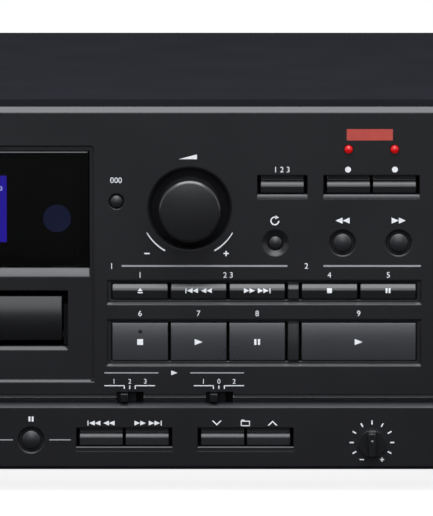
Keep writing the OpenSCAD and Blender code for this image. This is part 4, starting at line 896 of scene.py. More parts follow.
class Mark(Enum):
    """The signs on keys, which mean the same on every player."""

    STOP = "stop"
    PLAY = "play"
    PAUSE = "pause"
    EJECT = "eject"
    SKIP_BACK = "skip_back"
    SKIP_FORWARD = "skip_forward"
    REWIND = "rewind"
    FORWARD = "forward"
    RECORD = "record"
    REPEAT = "repeat"
    DOWN = "down"
    UP = "up"
    POWER = "power"
    PHONES = "phones"
    FOLDER = "folder"

    def sign(self, h: float) -> Sign:
        """Draws the sign, whose proportions are shares of its height.

        Args:
            h: Its height, in millimetres.

        Returns:
            Its outlines, centred.
        """
        wide = 1.15 * h
        thin = 0.16 * h
        pair = [arrow(wide, h, -wide / 2), arrow(wide, h, wide / 2)]
        flipped = [[(-x, z) for x, z in outline][::-1] for outline in pair]
        post = 2.65 * h
        near, far = 1.28 * h, 1.6 * h
        foot = [(0.0, -h / 2), (0.0, 2 * thin - h / 2)]
        wing = 2 * thin - h
        down = [
            [(-h, h / 2), foot[0], foot[1], (wing, h / 2)],
            [foot[0], (h, h / 2), (-wing, h / 2), foot[1]],
        ]
        tip = moved([arrow(0.45 * h, 0.5 * h)], 0.3 * h, 0.45 * h)
        roof = [(-h / 2, -0.05 * h), (h / 2, -0.05 * h), (0.0, 0.55 * h)]
        folder = [line(-0.7 * h, -0.1 * h, 0.5 * h, thin)]
        folder += [line(-0.7 * h, 0.7 * h, z * h, thin) for z in (0.32, -0.45)]
        folder += [bar(thin, 0.9 * h, s * 0.7 * h, -0.04 * h) for s in (-1, 1)]
        cups = [bar(0.28 * h, 0.5 * h, s * 0.45 * h, -0.2 * h) for s in (-1, 1)]
        signs: dict[Mark, Sign] = {
            Mark.STOP: [bar(h, h)],
            Mark.PLAY: [arrow(1.36 * h, 1.05 * h)],
            Mark.PAUSE: [bar(0.38 * h, h, -0.31 * h), bar(0.38 * h, h, 0.31 * h)],
            Mark.EJECT: [roof, bar(h, 0.28 * h, 0.0, -0.38 * h)],
            Mark.SKIP_BACK: [bar(0.2 * h, h, -post)] + moved(flipped, -near, 0.0) + moved(flipped, far, 0.0),
            Mark.SKIP_FORWARD: moved(pair, -far, 0.0) + moved(pair, near, 0.0) + [bar(0.2 * h, h, post)],
            Mark.REWIND: flipped,
            Mark.FORWARD: pair,
            Mark.RECORD: [disc(h / 2)],
            Mark.REPEAT: ring(h / 2, 60, 360, thin, thin) + tip,
            Mark.DOWN: down,
            Mark.UP: [[(x, -z) for x, z in outline][::-1] for outline in down],
            Mark.POWER: ring(h / 2, 125, 415, thin, thin) + [bar(thin, 0.5 * h, 0.0, 0.4 * h)],
            Mark.PHONES: ring(h / 2, 0, 180, thin, thin) + cups,
            Mark.FOLDER: folder,
        }
        return signs[self]


class Press:
    """Prints signs on the front of a piece, so that the ink follows its face."""

    lift_mm = 0.04

    def __init__(self, target: Piece) -> None:
        """Keeps the piece to print on.

        Args:
            target: A piece at rest, whose mesh is final.
        """
        bm = bmesh.new()
        bm.from_mesh(target.data)
        bmesh.ops.remove_doubles(bm, verts=bm.verts, dist=SAME_POINT)
        self.tree = BVHTree.FromBMesh(bm)
        bm.free()

    def depth(self, x: float, z: float) -> float:
        """Finds the face at (x, z), seen from the front.

        Args:
            x: Place in millimetres.
            z: Height in millimetres.

        Returns:
            Its Y in metres.
        """
        hit = self.tree.ray_cast(Vector((x * MM, -1.0, z * MM)), Vector((0, 1, 0)))
        if hit[0] is None:
            raise ValueError(f"no face to print on at {x:.1f}, {z:.1f}")
        return hit[0].y

    def stamp(self, name: str, sign: Sign, body: str, finish: Finish, slice_mm: float = 0.0) -> None:
        """Prints a sign.

        Args:
            name: Name of the print.
            sign: Its outlines, in place.
            body: The body that it rides.
            finish: Its ink.
            slice_mm: Height of the slices that let the ink bend over an edge; none at zero.
        """
        bm = bmesh.new()
        for outline in sign:
            bm.faces.new([bm.verts.new((x * MM, 0.0, z * MM)) for x, z in outline])
        if slice_mm:
            heights = [v.co.z for v in bm.verts]
            for k in range(1, math.ceil((max(heights) - min(heights)) / (slice_mm * MM))):
                parts = bm.verts[:] + bm.edges[:] + bm.faces[:]
                cut = Vector((0.0, 0.0, min(heights) + k * slice_mm * MM))
                bmesh.ops.bisect_plane(bm, geom=parts, plane_co=cut, plane_no=(0.0, 0.0, 1.0))
        for vert in bm.verts:
            vert.co.y = self.depth(vert.co.x / MM, vert.co.z / MM) - self.lift_mm * MM
        face_front(bm)
        add_piece(name, bm, finish, body)


# Geometry Nodes


class Rule(Enum):
    """What a node tree lays out."""

    TICKS = "dial_ticks"
    SCREWS = "cross_head_screws"


def run_nodes(name: str, tree: Tree, mesh: bpy.types.Mesh, values: dict[str, object], body: str) -> Piece:
    """Runs a node tree once and keeps what it made as a plain mesh.

    Args:
        name: Name of the piece.
        tree: A geometry tree that ends in realized instances.
        mesh: The mesh that goes in.
        values: Value by input name.
        body: The body that carries the piece.

    Returns:
        The piece.
    """
    maker = place(name + "_maker", mesh)
    modifier = maker.modifiers.new("nodes", "NODES")
    modifier.node_group = tree
    for item in tree.interface.items_tree:
        if item.in_out == "INPUT" and item.name in values:
            modifier[item.identifier] = values[item.name]
    made = baked(maker)
    bpy.data.objects.remove(maker)
    piece = place(name, made)
    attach(piece, body)
    LOG.info("%s: %d faces on %s", name, len(made.polygons), body)
    return piece


def new_tree(rule: Rule, inputs: dict[str, str]) -> tuple[Tree, Node]:
    """Starts a geometry tree.

    Args:
        rule: What it lays out.
        inputs: Socket type by input name, besides the geometry.

    Returns:
        The tree and its input node.
    """
    tree = bpy.data.node_groups.new(rule.value, "GeometryNodeTree")
    tree.interface.new_socket("Geometry", in_out="INPUT", socket_type="NodeSocketGeometry")
    for name, kind in inputs.items():
        tree.interface.new_socket(name, in_out="INPUT", socket_type=kind)
    tree.interface.new_socket("Geometry", in_out="OUTPUT", socket_type="NodeSocketGeometry")
    return tree, add_node(tree, "NodeGroupInput")


def end_tree(tree: Tree, points: Socket, shape: Socket, turn: Socket, finish: Finish) -> None:
    """Sets a shape on every point, gives all of them a material and ends the tree.

    Args:
        tree: The tree.
        points: Where the shapes are set.
        shape: The shape.
        turn: Rotation of each shape.
        finish: Their finish.
    """
    sources = {"Points": points, "Instance": shape, "Rotation": turn}
    laid = add_node(tree, "GeometryNodeInstanceOnPoints", sources).outputs["Instances"]
    real = add_node(tree, "GeometryNodeRealizeInstances", {"Geometry": laid}).outputs["Geometry"]
    dressed = add_node(tree, "GeometryNodeSetMaterial", {"Geometry": real, "Material": finish.build()})
    add_node(tree, "NodeGroupOutput", {"Geometry": dressed.outputs["Geometry"]})


def tick_tree() -> Tree:
    """Builds the tree that lays strokes on an arc, all pointing away from the middle.

    Returns:
        The tree.
    """
    kinds = {"Count": "NodeSocketInt", "Middle": "NodeSocketVector", "Stroke": "NodeSocketVector"}
    kinds |= {"First": "NodeSocketFloat", "Step": "NodeSocketFloat", "Radius": "NodeSocketFloat"}
    tree, given = new_tree(Rule.TICKS, kinds)
    count, middle, stroke, first, step, radius = (given.outputs[name] for name in kinds)
    index = add_node(tree, "GeometryNodeInputIndex").outputs["Index"]
    angle = reckon(tree, "MULTIPLY_ADD", index, step, first)
    way = vector(tree, X=reckon(tree, "SINE", angle), Z=reckon(tree, "COSINE", angle))
    spot = add_node(tree, "ShaderNodeVectorMath", {0: way, 1: radius, 2: middle}, operation="MULTIPLY_ADD")
    points = add_node(tree, "GeometryNodePoints", {"Count": count, "Position": spot.outputs["Vector"]})
    block = add_node(tree, "GeometryNodeMeshCube", {"Size": stroke})
    turn = add_node(tree, "FunctionNodeEulerToRotation", {"Euler": vector(tree, Y=angle)})
    end_tree(tree, points.outputs["Points"], block.outputs["Mesh"], turn.outputs["Rotation"], INK)
    return tree


def screw_tree() -> Tree:
    """Builds the tree that sets a domed cross-head screw on each point, along its axis.

    Returns:
        The tree.
    """
    kinds = {"Radius": "NodeSocketFloat", "Height": "NodeSocketFloat", "Slot": "NodeSocketFloat"}
    tree, given = new_tree(Rule.SCREWS, kinds)
    radius, height, slot = (given.outputs[name] for name in kinds)
    ball = add_node(tree, "GeometryNodeMeshUVSphere", {"Segments": 40, "Rings": 24, "Radius": 1.0})
    squash = vector(tree, X=radius, Y=radius, Z=height)
    dome = add_node(tree, "GeometryNodeTransform", {"Geometry": ball.outputs["Mesh"], "Scale": squash})
    lift = vector(tree, Z=height)
    arms = []
    for x_side, y_side in ((radius, slot), (slot, radius)):
        size = vector(tree, X=x_side, Y=y_side, Z=height)
        block = add_node(tree, "GeometryNodeMeshCube", {"Size": size}).outputs["Mesh"]
        arm = add_node(tree, "GeometryNodeTransform", {"Geometry": block, "Translation": lift})
        arms.append(arm.outputs["Geometry"])
    cross = add_node(tree, "GeometryNodeMeshBoolean", operation="UNION", solver="EXACT")
    for arm in arms:
        tree.links.new(arm, cross.inputs["Mesh 2"])
    bodies = {"Mesh 1": dome.outputs["Geometry"], "Mesh 2": cross.outputs["Mesh"]}
    head = add_node(tree, "GeometryNodeMeshBoolean", bodies, solver="EXACT", operation="DIFFERENCE")
    axis = add_node(tree, "GeometryNodeInputNamedAttribute", {"Name": "axis"}, data_type="FLOAT_VECTOR")
    ways = {"Vector": axis.outputs["Attribute"]}
    turn = add_node(tree, "FunctionNodeAlignRotationToVector", ways, axis="Z")
    end_tree(tree, given.outputs["Geometry"], head.outputs["Mesh"], turn.outputs["Rotation"], STEEL_BLACK)
    return tree


# Sub-assemblies


@dataclass
class Cabinet:
    """The steel case with its feet and screws."""

    screw_r: float = 3.3
    screw_h: float = 1.57
    screw_slot: float = 0.9
    side_screw_x: float = 215.5
    side_screw_ys: Point = (-47.0, 97.0)
    side_screw_z: float = 27.0
    rear_screw_y: float = 137.0
    rear_screw_x: float = 205.0
    rear_screw_zs: Point = (18.0, 126.6)

    def seats(self) -> list[tuple[Spot, Spot]]:
        """Lists where the screws sit.

        Returns:
            Place of each screw, in millimetres, and the way that its head looks.
        """
        x, z = self.side_screw_x, self.side_screw_z
        beside = [((s * x, y, z), (s, 0, 0)) for s in (-1, 1) for y in self.side_screw_ys]
        x, y = self.rear_screw_x, self.rear_screw_y
        return beside + [((s * x, y, z), (0, 1, 0)) for s in (-1, 1) for z in self.rear_screw_zs]

    def screws(self) -> None:
        """Sets screws on the sides and the back."""
        seats = self.seats()
        mesh = bpy.data.meshes.new("screw_seats")
        mesh.from_pydata([(x * MM, y * MM, z * MM) for (x, y, z), _ in seats], [], [])
        axes = mesh.attributes.new("axis", "FLOAT_VECTOR", "POINT")
        for item, (_, axis) in zip(axes.data, seats):
            item.vector = axis
        values = {"Radius": self.screw_r * MM, "Height": self.screw_h * MM, "Slot": self.screw_slot * MM}
        heads = run_nodes("screw_heads", screw_tree(), mesh, values, CABINET)
        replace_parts(heads, "case_screws")

    def build(self) -> None:
        """Dresses the case."""
        skin("top_cover", COVER)
        paint("rear_panel", REAR)
        paint("chassis_base", ZINC)
        skin("feet", RUBBER)
        self.screws()


@dataclass
class FrontPanel:
    """The moulded front with everything printed on it."""

    figure: float = 2.1
    # Scale round the level knob: arcs that grow, minus and plus at their ends, and a wedge over the knob
    level: Point = LEVEL_KNOB
    arc_r: float = 18.5
    arc_ink: Point = (0.32, 0.62)
    arcs = ((-30, -60), (-150, -120))
    minus_place: Point = (-16.0, 90.0)
    plus_place: Point = (13.6, 90.0)
    minus_size: Point = (2.0, 0.5)
    plus_arm: Point = (0.75, 0.62)
    wedge_place: Point = (-0.7, 126.2)
    wedge = ((-3.4, -0.7), (3.4, -0.7), (3.4, 1.1))
    # Figures and signs on the upper panel, with their places, the red plate over the lamps and the painted
    # shade round them
    figures = (("000", 74.3, 117.6), ("1 2 3", 136.4, 121.6))
    marks = (
        (Mark.RECORD, 2.2, 160.9, 121.6),
        (Mark.RECORD, 2.2, 178.4, 121.6),
        (Mark.REPEAT, 2.9, 133.6, 102.3),
        (Mark.REWIND, 2.3, 158.9, 102.4),
        (Mark.FORWARD, 2.3, 179.9, 102.4),
    )
    red_plate: tuple[float, float, float, float] = (160.4, 177.6, 132.55, 136.8)
    lamp_shade_ring: Point = (0.45, 0.35)
    # Figures over the key rows, with their places, and the lines beside the group numbers
    group_z: float = 85.3
    upper_z: float = 81.9
    lower_z: float = 67.4
    group_figures = (("1", 72.6), ("2", 145.4))
    upper_figures = (("1", 83.2), ("2 3", 116.1), ("4", 154.0), ("5", 176.0))
    lower_figures = (("6", 83.2), ("7", 105.1), ("8", 127.0), ("9", 165.0))
    group_spans = ((76.3, 138.3), (151.8, 188.2))
    ink: float = 0.68
    # Print over the slide switches: a sign between two lines, and three stops with a bracket under them
    start_x: float = 96.0
    start_z: float = 44.9
    start_sign: float = 1.7
    start_spans = ((69.8, 90.0), (102.0, 122.1))
    start_ink: float = 0.7
    stops = ((("1", "2", "3"), (73.4, 79.3, 85.1)), (("1", "0", "2"), (106.9, 112.7, 118.4)))
    stops_z: float = 41.7
    stop_figure: float = 0.85
    bracket_z: float = 40.05
    bracket_step: float = 2.05
    bracket_ends: Point = (3.6, 3.7)
    bracket_ink: float = 0.35
    bracket_tick: Point = (0.4, 1.3)
    tick_down: float = 0.6
    # Signs on the strip: place, height over the row of signs, and size
    strip_sign_z: float = 27.2
    strip_marks = (
        (Mark.POWER, -199.0, 2.3, 2.2),
        (Mark.EJECT, -172.0, 0.0, 2.2),
        (Mark.PHONES, -141.0, 2.0, 2.4),
        (Mark.STOP, -5.6, 1.0, 1.9),
        (Mark.PLAY, 18.4, 1.0, 1.9),
        (Mark.PAUSE, 42.4, 1.0, 1.9),
        (Mark.SKIP_BACK, 68.6, -0.55, 1.85),
        (Mark.SKIP_FORWARD, 86.2, -0.55, 1.85),
        (Mark.DOWN, 111.9, -0.55, 1.85),
        (Mark.FOLDER, 122.6, -0.55, 2.2),
        (Mark.UP, 132.8, -0.55, 1.85),
    )
    strip_row: float = 20.3
    usb_xs: Spot = (-5.6, 18.4, 42.4)
    usb_gap: float = 6.8
    usb_end: float = 57.3
    usb_ink: float = 0.65
    # Small knobs: strokes round them, with a minus and a plus under the first and last stroke
    pitch: Point = (170.0, 19.3)
    phones: Point = (-116.0, 20.3)
    end_rs: Point = (9.0, 9.9)
    end_way: Point = (0.42, 0.72)
    small_minus: Point = (1.7, 0.42)
    small_plus = (1.6, 0.45, 0.56, 0.5)
    tick_rs: Point = (7.6, 8.4)
    tick_count: int = 9
    tick_first: float = -120
    tick_step: float = 30
    tick_size: Spot = (0.5, 0.04, 1.55)
    # Slots of the bar buttons with their sills, and rings of painted shade on the floors of the wells of the
    # round buttons
    bar_set: float = 0.9
    sill_up: float = 1.1
    sill_h: float = 1.7
    sill_line: float = 0.36
    slot_side: float = 1.2
    lip_smooth: float = 30.0
    lip_crisp: float = 5.0
    lips = (
        ("source_lip", "source_button", "source_button", True),
        ("record_lip", "usb_record_button", "tape_record_button", True),
        ("eject_lip", "eject_button", "eject_button", False),
        ("skip_lip", "usb_skip_back_button", "usb_skip_forward_button", False),
        ("folder_lip", "folder_down_button", "folder_up_button", False),
    )
    round_row: float = 94.0
    well_shade_radii: Point = (3.68, 4.62)
    well_xs: Point = (158.9, 179.9)
    # Curved ledge over the strip, cut at the slots of the slide switches, and the painted shade on the bead
    # over it
    switch_slots: tuple[Point, Point] = ((74.3, 84.8), (107.5, 118.4))
    switch_floor: float = 33.6
    ledge_y: Point = (-138.0, -133.0)
    ledge_z: Point = (31.9, 34.2)
    ledge_turn: Point = (55.0, 84.0)
    ledge_rise: float = 0.45
    ledge_lap: float = 0.8
    ledge_proud: float = 0.02
    ledge_end: float = 0.05
    ledge_steps: int = 12
    ledge_smooth: float = 20.0
    bead_shade: Point = (35.72, 37.0)
    bead_slice: float = 0.2

    def panel_signs(self) -> Sign:
        """Draws what stands on the upper panel.

        Returns:
            The signs, in place.
        """
        x, z = self.level
        signs = []
        for first, last in self.arcs:
            signs += moved(ring(self.arc_r, first, last, *self.arc_ink), x, z)
        signs += moved([bar(*self.minus_size)], x + self.minus_place[0], self.minus_place[1])
        signs += moved(plus(*self.minus_size, *self.plus_arm), x + self.plus_place[0], self.plus_place[1])
        signs += moved([list(self.wedge)], x + self.wedge_place[0], self.wedge_place[1])
        for text, figure_x, figure_z in self.figures:
            signs += moved(number(text, self.figure), figure_x, figure_z)
        for mark, size, mark_x, mark_z in self.marks:
            signs += moved(mark.sign(size), mark_x, mark_z)
        return signs

    def key_signs(self) -> Sign:
        """Draws the numbers and lines over the key rows and the slide switches.

        Returns:
            The signs, in place.
        """
        rows = (
            (self.group_figures, self.group_z),
            (self.upper_figures, self.upper_z),
            (self.lower_figures, self.lower_z),
        )
        signs = []
        for figures, z in rows:
            for text, x in figures:
                signs += moved(number(text, self.figure), x, z)
        signs += moved(Mark.PLAY.sign(self.start_sign), self.start_x, self.start_z)
        for figures, xs in self.stops:
            for text, x in zip(figures, xs):
                signs += moved(number(text, self.figure * self.stop_figure), x, self.stops_z)
            left, middle, right = xs[1] - self.bracket_step, xs[1], xs[1] + self.bracket_step
            spans = ((xs[0] - self.bracket_ends[0], left), (right, xs[2] + self.bracket_ends[1]))
            signs += [line(x0, x1, self.bracket_z, self.bracket_ink) for x0, x1 in spans]
            tick_z = self.bracket_z - self.tick_down
            signs += [bar(*self.bracket_tick, tick, tick_z) for tick in (left, middle, right)]
        return signs

    def group_lines(self) -> Sign:
        """Draws the lines beside the group numbers.

        Returns:
            The lines, in place.
        """
        rows = [line(x0, x1, self.group_z, self.ink) for x0, x1 in self.group_spans]
        rows += [line(x0, x1, self.start_z, self.ink * self.start_ink) for x0, x1 in self.start_spans]
        ends = [(a + self.usb_gap, b - self.usb_gap) for a, b in zip(self.usb_xs, self.usb_xs[1:])]
        ends.append((self.usb_xs[-1] + self.usb_gap, self.usb_end))
        return rows + [line(x0, x1, self.strip_row, self.ink * self.usb_ink) for x0, x1 in ends]

    def strip_signs(self) -> Sign:
        """Draws what stands on the lower strip.

        Returns:
            The signs, in place.
        """
        signs = []
        for mark, x, up, size in self.strip_marks:
            signs += moved(mark.sign(size), x, self.strip_sign_z + up)
        side, down = self.end_way
        for (x, z), r in zip((self.pitch, self.phones), self.end_rs):
            signs += moved([bar(*self.small_minus)], x - r * side, z - r * down)
            signs += moved(plus(*self.small_plus), x + r * side, z - r * down)
        return signs

    def ticks(self) -> None:
        """Lays the strokes round the two small knobs."""
        tree = tick_tree()
        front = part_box("front_panel")[0].y
        names = ("pitch_ticks", "phones_ticks")
        for name, (x, z), r in zip(names, (self.pitch, self.phones), self.tick_rs):
            values = {
                "Count": self.tick_count,
                "Middle": (x * MM, front - Press.lift_mm * MM, z * MM),
                "Stroke": tuple(side * MM for side in self.tick_size),
                "First": math.radians(self.tick_first),
                "Step": math.radians(self.tick_step),
                "Radius": r * MM,
            }
            run_nodes(name, tree, bpy.data.meshes.new(name), values, CABINET)

    def lamp_gap_shades(self) -> Sign:
        """Draws painted shade in the gap round each lamp.

        Returns:
            Two rings, in place.
        """
        low, high = box_mm("record_lamps")
        r = (high.z - low.z) / 2
        out, thick = self.lamp_shade_ring
        rim = ring(r + out, 0, 360, thick, thick, steps=48)
        return [outline for x in (low.x + r, high.x - r) for outline in moved(rim, x, (low.z + high.z) / 2)]

    def painted_well_shades(self) -> Sign:
        """Draws rings of painted shade on the floors of the wells round the buttons.

        Returns:
            A ring for each well, in place.
        """
        r0, r1 = self.well_shade_radii
        floor = ring((r0 + r1) / 2, 0, 360, r1 - r0, r1 - r0, steps=64)
        wells = [(x, self.round_row) for x in self.well_xs] + [(x, self.strip_row) for x in self.usb_xs]
        return [outline for x, z in wells for outline in moved(floor, x, z)]

    def lip(self, name: str, first: str, last: str, rounded: bool) -> None:
        """Sets a lip into the sill under a slot.

        Args:
            name: Name of the piece.
            first: Leftmost button of the slot.
            last: Rightmost button of the slot.
            rounded: Whether it curves all the way, or is flush with a thin bevel.
        """
        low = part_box(first)[0] / MM
        y0, y1 = low.y - self.bar_set, low.y
        z1 = low.z + self.sill_up
        z0 = z1 - self.sill_h
        bevel = self.sill_line * self.bar_set / self.sill_h
        outline = [(y0, z0), (y0, z1 - self.sill_line), (y0 + bevel, z1), (y1, z1)]
        if rounded:
            outline = [(y1 - self.bar_set * math.cos(a), z0 + self.sill_h * math.sin(a)) for a in quarter(10)]
        x0 = low.x - self.slot_side
        x1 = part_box(last)[1].x / MM + self.slot_side
        smooth = self.lip_smooth if rounded else self.lip_crisp
        add_piece(name, runs([(outline, x0, x1)]), LIPS, CABINET, smooth)

    def ledge_spans(self) -> tuple[list[Point], list[Point]]:
        """Divides the panel's width at the slots of the slide switches.

        Returns:
            The spans beside the slots and the spans of the slots.
        """
        low, high = box_mm("front_panel")
        cuts = [x for slot in self.switch_slots for x in slot]
        ends = [low.x + self.ledge_end, *cuts, high.x - self.ledge_end]
        spans = list(zip(ends, ends[1:]))
        return spans[0::2], spans[1::2]

    def ledge_curve(self, top: float) -> Outline:
        """Draws the section of the curved ledge over the strip.

        Args:
            top: Height where it is cut off.

        Returns:
            Its outline in Y and Z.
        """
        (y0, y1), (z0, z1) = self.ledge_y, self.ledge_z
        start = z0 + self.ledge_rise
        first, last = (math.radians(a) for a in self.ledge_turn)
        across = math.cos(first) - math.cos(last)
        tall = math.sin(last) - math.sin(first)
        kept = []
        for k in range(self.ledge_steps + 1):
            a = first + (last - first) * k / self.ledge_steps
            y = y0 + (y1 - y0) * (math.cos(first) - math.cos(a)) / across
            z = start + (z1 - start) * (math.sin(a) - math.sin(first)) / tall
            if z <= top:
                kept.append((y, z))
        back = z0 + (z1 - z0) * (kept[-1][0] - y0) / (y1 - y0)
        return [*kept, (kept[-1][0], back - self.ledge_proud), (y0, z0)]

    def ledge(self) -> None:
        """Rounds the ledge over the strip and lays a matt strip of painted shade over the upper side of the
        bead.
        """
        beside, slots = self.ledge_spans()
        parts = [(self.ledge_curve(math.inf), *span) for span in beside]
        parts += [(self.ledge_curve(self.switch_floor), *span) for span in slots]
        add_piece("ledge_curve", runs(parts), LEDGE, CABINET, self.ledge_smooth)
        y0, z0 = self.ledge_y[0], self.ledge_z[0]
        y1, z1 = y0 - self.ledge_proud, z0 + self.ledge_rise
        z0 -= self.ledge_lap
        face = [(y0, z0), (y1, z0), (y1, z1), (y0, z1)]
        add_piece("ledge_face", runs([(face, beside[0][0], beside[-1][1])]), LIPS, CABINET)
        shades = [plate(x0, x1, *self.bead_shade) for x0, x1 in beside]
        Press(frame["nodes"]["front_panel"]).stamp("bead_shade", shades, CABINET, SHADE, self.bead_slice)

    def build(self) -> None:
        """Dresses the panel and prints on it."""
        paint("front_panel", PANEL)
        press = Press(frame["nodes"]["front_panel"])
        press.stamp("panel_print", self.panel_signs(), CABINET, INK)
        press.stamp("key_print", self.key_signs(), CABINET, INK)
        press.stamp("line_print", self.group_lines(), CABINET, LINE_INK)
        press.stamp("strip_print", self.strip_signs(), CABINET, INK)
        press.stamp("red_plate", [plate(*self.red_plate)], CABINET, RED_INK)
        # Dark rings round the lamps: painted shade in their gaps
        press.stamp("lamp_gap_shades", self.lamp_gap_shades(), CABINET, INNER)
        self.ticks()
        self.ledge()
        # Dark rings on the well floors: painted shade
        press.stamp("painted_well_shades", self.painted_well_shades(), CABINET, INNER)
        for lip in self.lips:
            self.lip(*lip)
        paint("record_lamps", LAMP)


@dataclass
class Display:
    """The smoked window, the lit display behind it and the remote sensor."""

    window_soft: float = 0.15
    highlight_width: float = 0.36
    edge_in: float = 0.5
    edge_down: float = 0.42
    glass: tuple[float, float, float, float] = (-53.3, 33.3, 93.7, 118.7)
    glass_gap: float = 0.05
    figure_gap: float = 0.1
    sensor: Point = (52.1, 102.6)
    sensor_r: float = 5.2
    tracks: int = 10
    track_spare: float = 0.1
    row_z: float = 113.9
    row_end: float = 2.6
    row_figure: float = 1.7
    clock_z: float = 103.5
    clock_figure: float = 10.0
    clock = (("01", 16.0), ("00:00", 52.0))

    def flat(self, name: str, sign: Sign, y: float, finish: Finish) -> None:
        """Makes flat faces behind the window.

        Args:
            name: Name of the piece.
            sign: Outlines in place, in millimetres.
            y: Their depth in metres.
            finish: Their finish.
        """
        bm = bmesh.new()
        for outline in sign:
            bm.faces.new([bm.verts.new((x * MM, y, z * MM)) for x, z in outline])
        face_front(bm)
        add_piece(name, bm, finish, CABINET)

    def figures(self) -> Sign:
        """Draws the row of track numbers and the clock.

        Returns:
            The figures, in place.
        """
        x0, x1 = self.glass[:2]
        pitch = (x1 - x0) / (self.tracks + self.track_spare)
        signs = []
        for i in range(self.tracks):
            x = x1 - self.row_end - (self.tracks - 1 - i) * pitch
            signs += moved(number(str(i + 1), self.row_figure), x, self.row_z)
        for text, x in self.clock:
            signs += moved(number(text, self.clock_figure), x0 + x, self.clock_z)
        return signs

    def build(self) -> None:
        """Builds the window and what shines through it."""
        window = skin("display_window", SMOKED, self.window_soft)
        low, high = box_mm("display_window")
        # A glowing line along the window's upper edge: painted highlight
        edge = line(low.x + self.edge_in, high.x - self.edge_in, high.z - self.edge_down, self.highlight_width)
        Press(window).stamp("window_edge_highlight", [edge], CABINET, EDGE_HIGHLIGHT)
        paint("display_module", INNER)
        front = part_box("display_module")[0].y
        glass_y = front - self.glass_gap * MM
        self.flat("display_glow", [plate(*self.glass)], glass_y, LCD)
        # The sensor disc glows: painted glow, as it is no lamp
        self.flat("sensor_filter", moved([disc(self.sensor_r)], *self.sensor), glass_y, FILTER_GLOW)
        self.flat("display_figures", self.figures(), front - self.figure_gap * MM, LCD_INK)


@dataclass
class DiscTray:
    """The tray with its curved front, and the drive under it."""

    front_edge: float = 0.4
    fascia_back: float = -127.9

    def build(self) -> None:
        """Dresses the tray and the drive."""
        skin("cd_tray", TRAY, self.front_edge, self.fascia_back)
        skin("tray_gear", ACETAL)
        skin("cd_turntable", TRAY)
        for node, finish in (("cd_loader_frame", INNER), ("cd_traverse", STEEL), ("cd_pickup", STEEL)):
            paint(node, finish)


@dataclass
class Knobs:
    """The level knob, the two small knobs and the two sliders."""

    level: Point = LEVEL_KNOB
    level_r: float = 11.8
    level_front: float = -145.0
    level_back: float = -128.3
    rim: float = 1.2
    taper: float = 0.2
    dome: float = 0.6
    highlight_dot: Spot = (0.75, 0.6, 3.4)
    soft: float = 0.25
    slider_back: float = -131.0

    def level_profile(self) -> list[Point]:
        """Draws half of the level knob, from the middle of its face outwards.

        Returns:
            Radius and depth of each point, in millimetres.
        """
        flat = self.level_r - self.taper - self.rim
        steps = 10
        face = [(flat * k / steps, self.level_front + self.dome * (k / steps) ** 2) for k in range(steps)]
        shoulder = self.level_front + self.dome
        turn = quarter(steps)
        edge = [(flat + self.rim * math.sin(a), shoulder + self.rim * (1 - math.cos(a))) for a in turn]
        return face + edge + [(self.level_r, self.level_back), (0.0, self.level_back)]

    def build(self) -> None:
        """Builds the knobs."""
        turned = lathe(self.level_profile(), *self.level, steps=128)
        cap = add_piece("level_cap", turned, KNOBS, body_of("rec_level_knob"))
        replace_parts(cap, "rec_level_knob")
        # A grey dot on each small knob's ridge: painted highlight where the ridge's top catches light
        w, h, down = self.highlight_dot
        for node in ("pitch_knob", "phones_knob"):
            knob = skin(node, KNOBS, self.soft)
            low, high = box_mm(node)
            middle = (low.x + high.x) / 2
            Press(knob).stamp(node + "_pointer", [bar(w, h, middle, high.z - down)], body_of(node), LINE_INK)
        for node in ("start_source_switch", "start_mode_switch"):
            skin(node, KEYS, self.soft, self.slider_back)


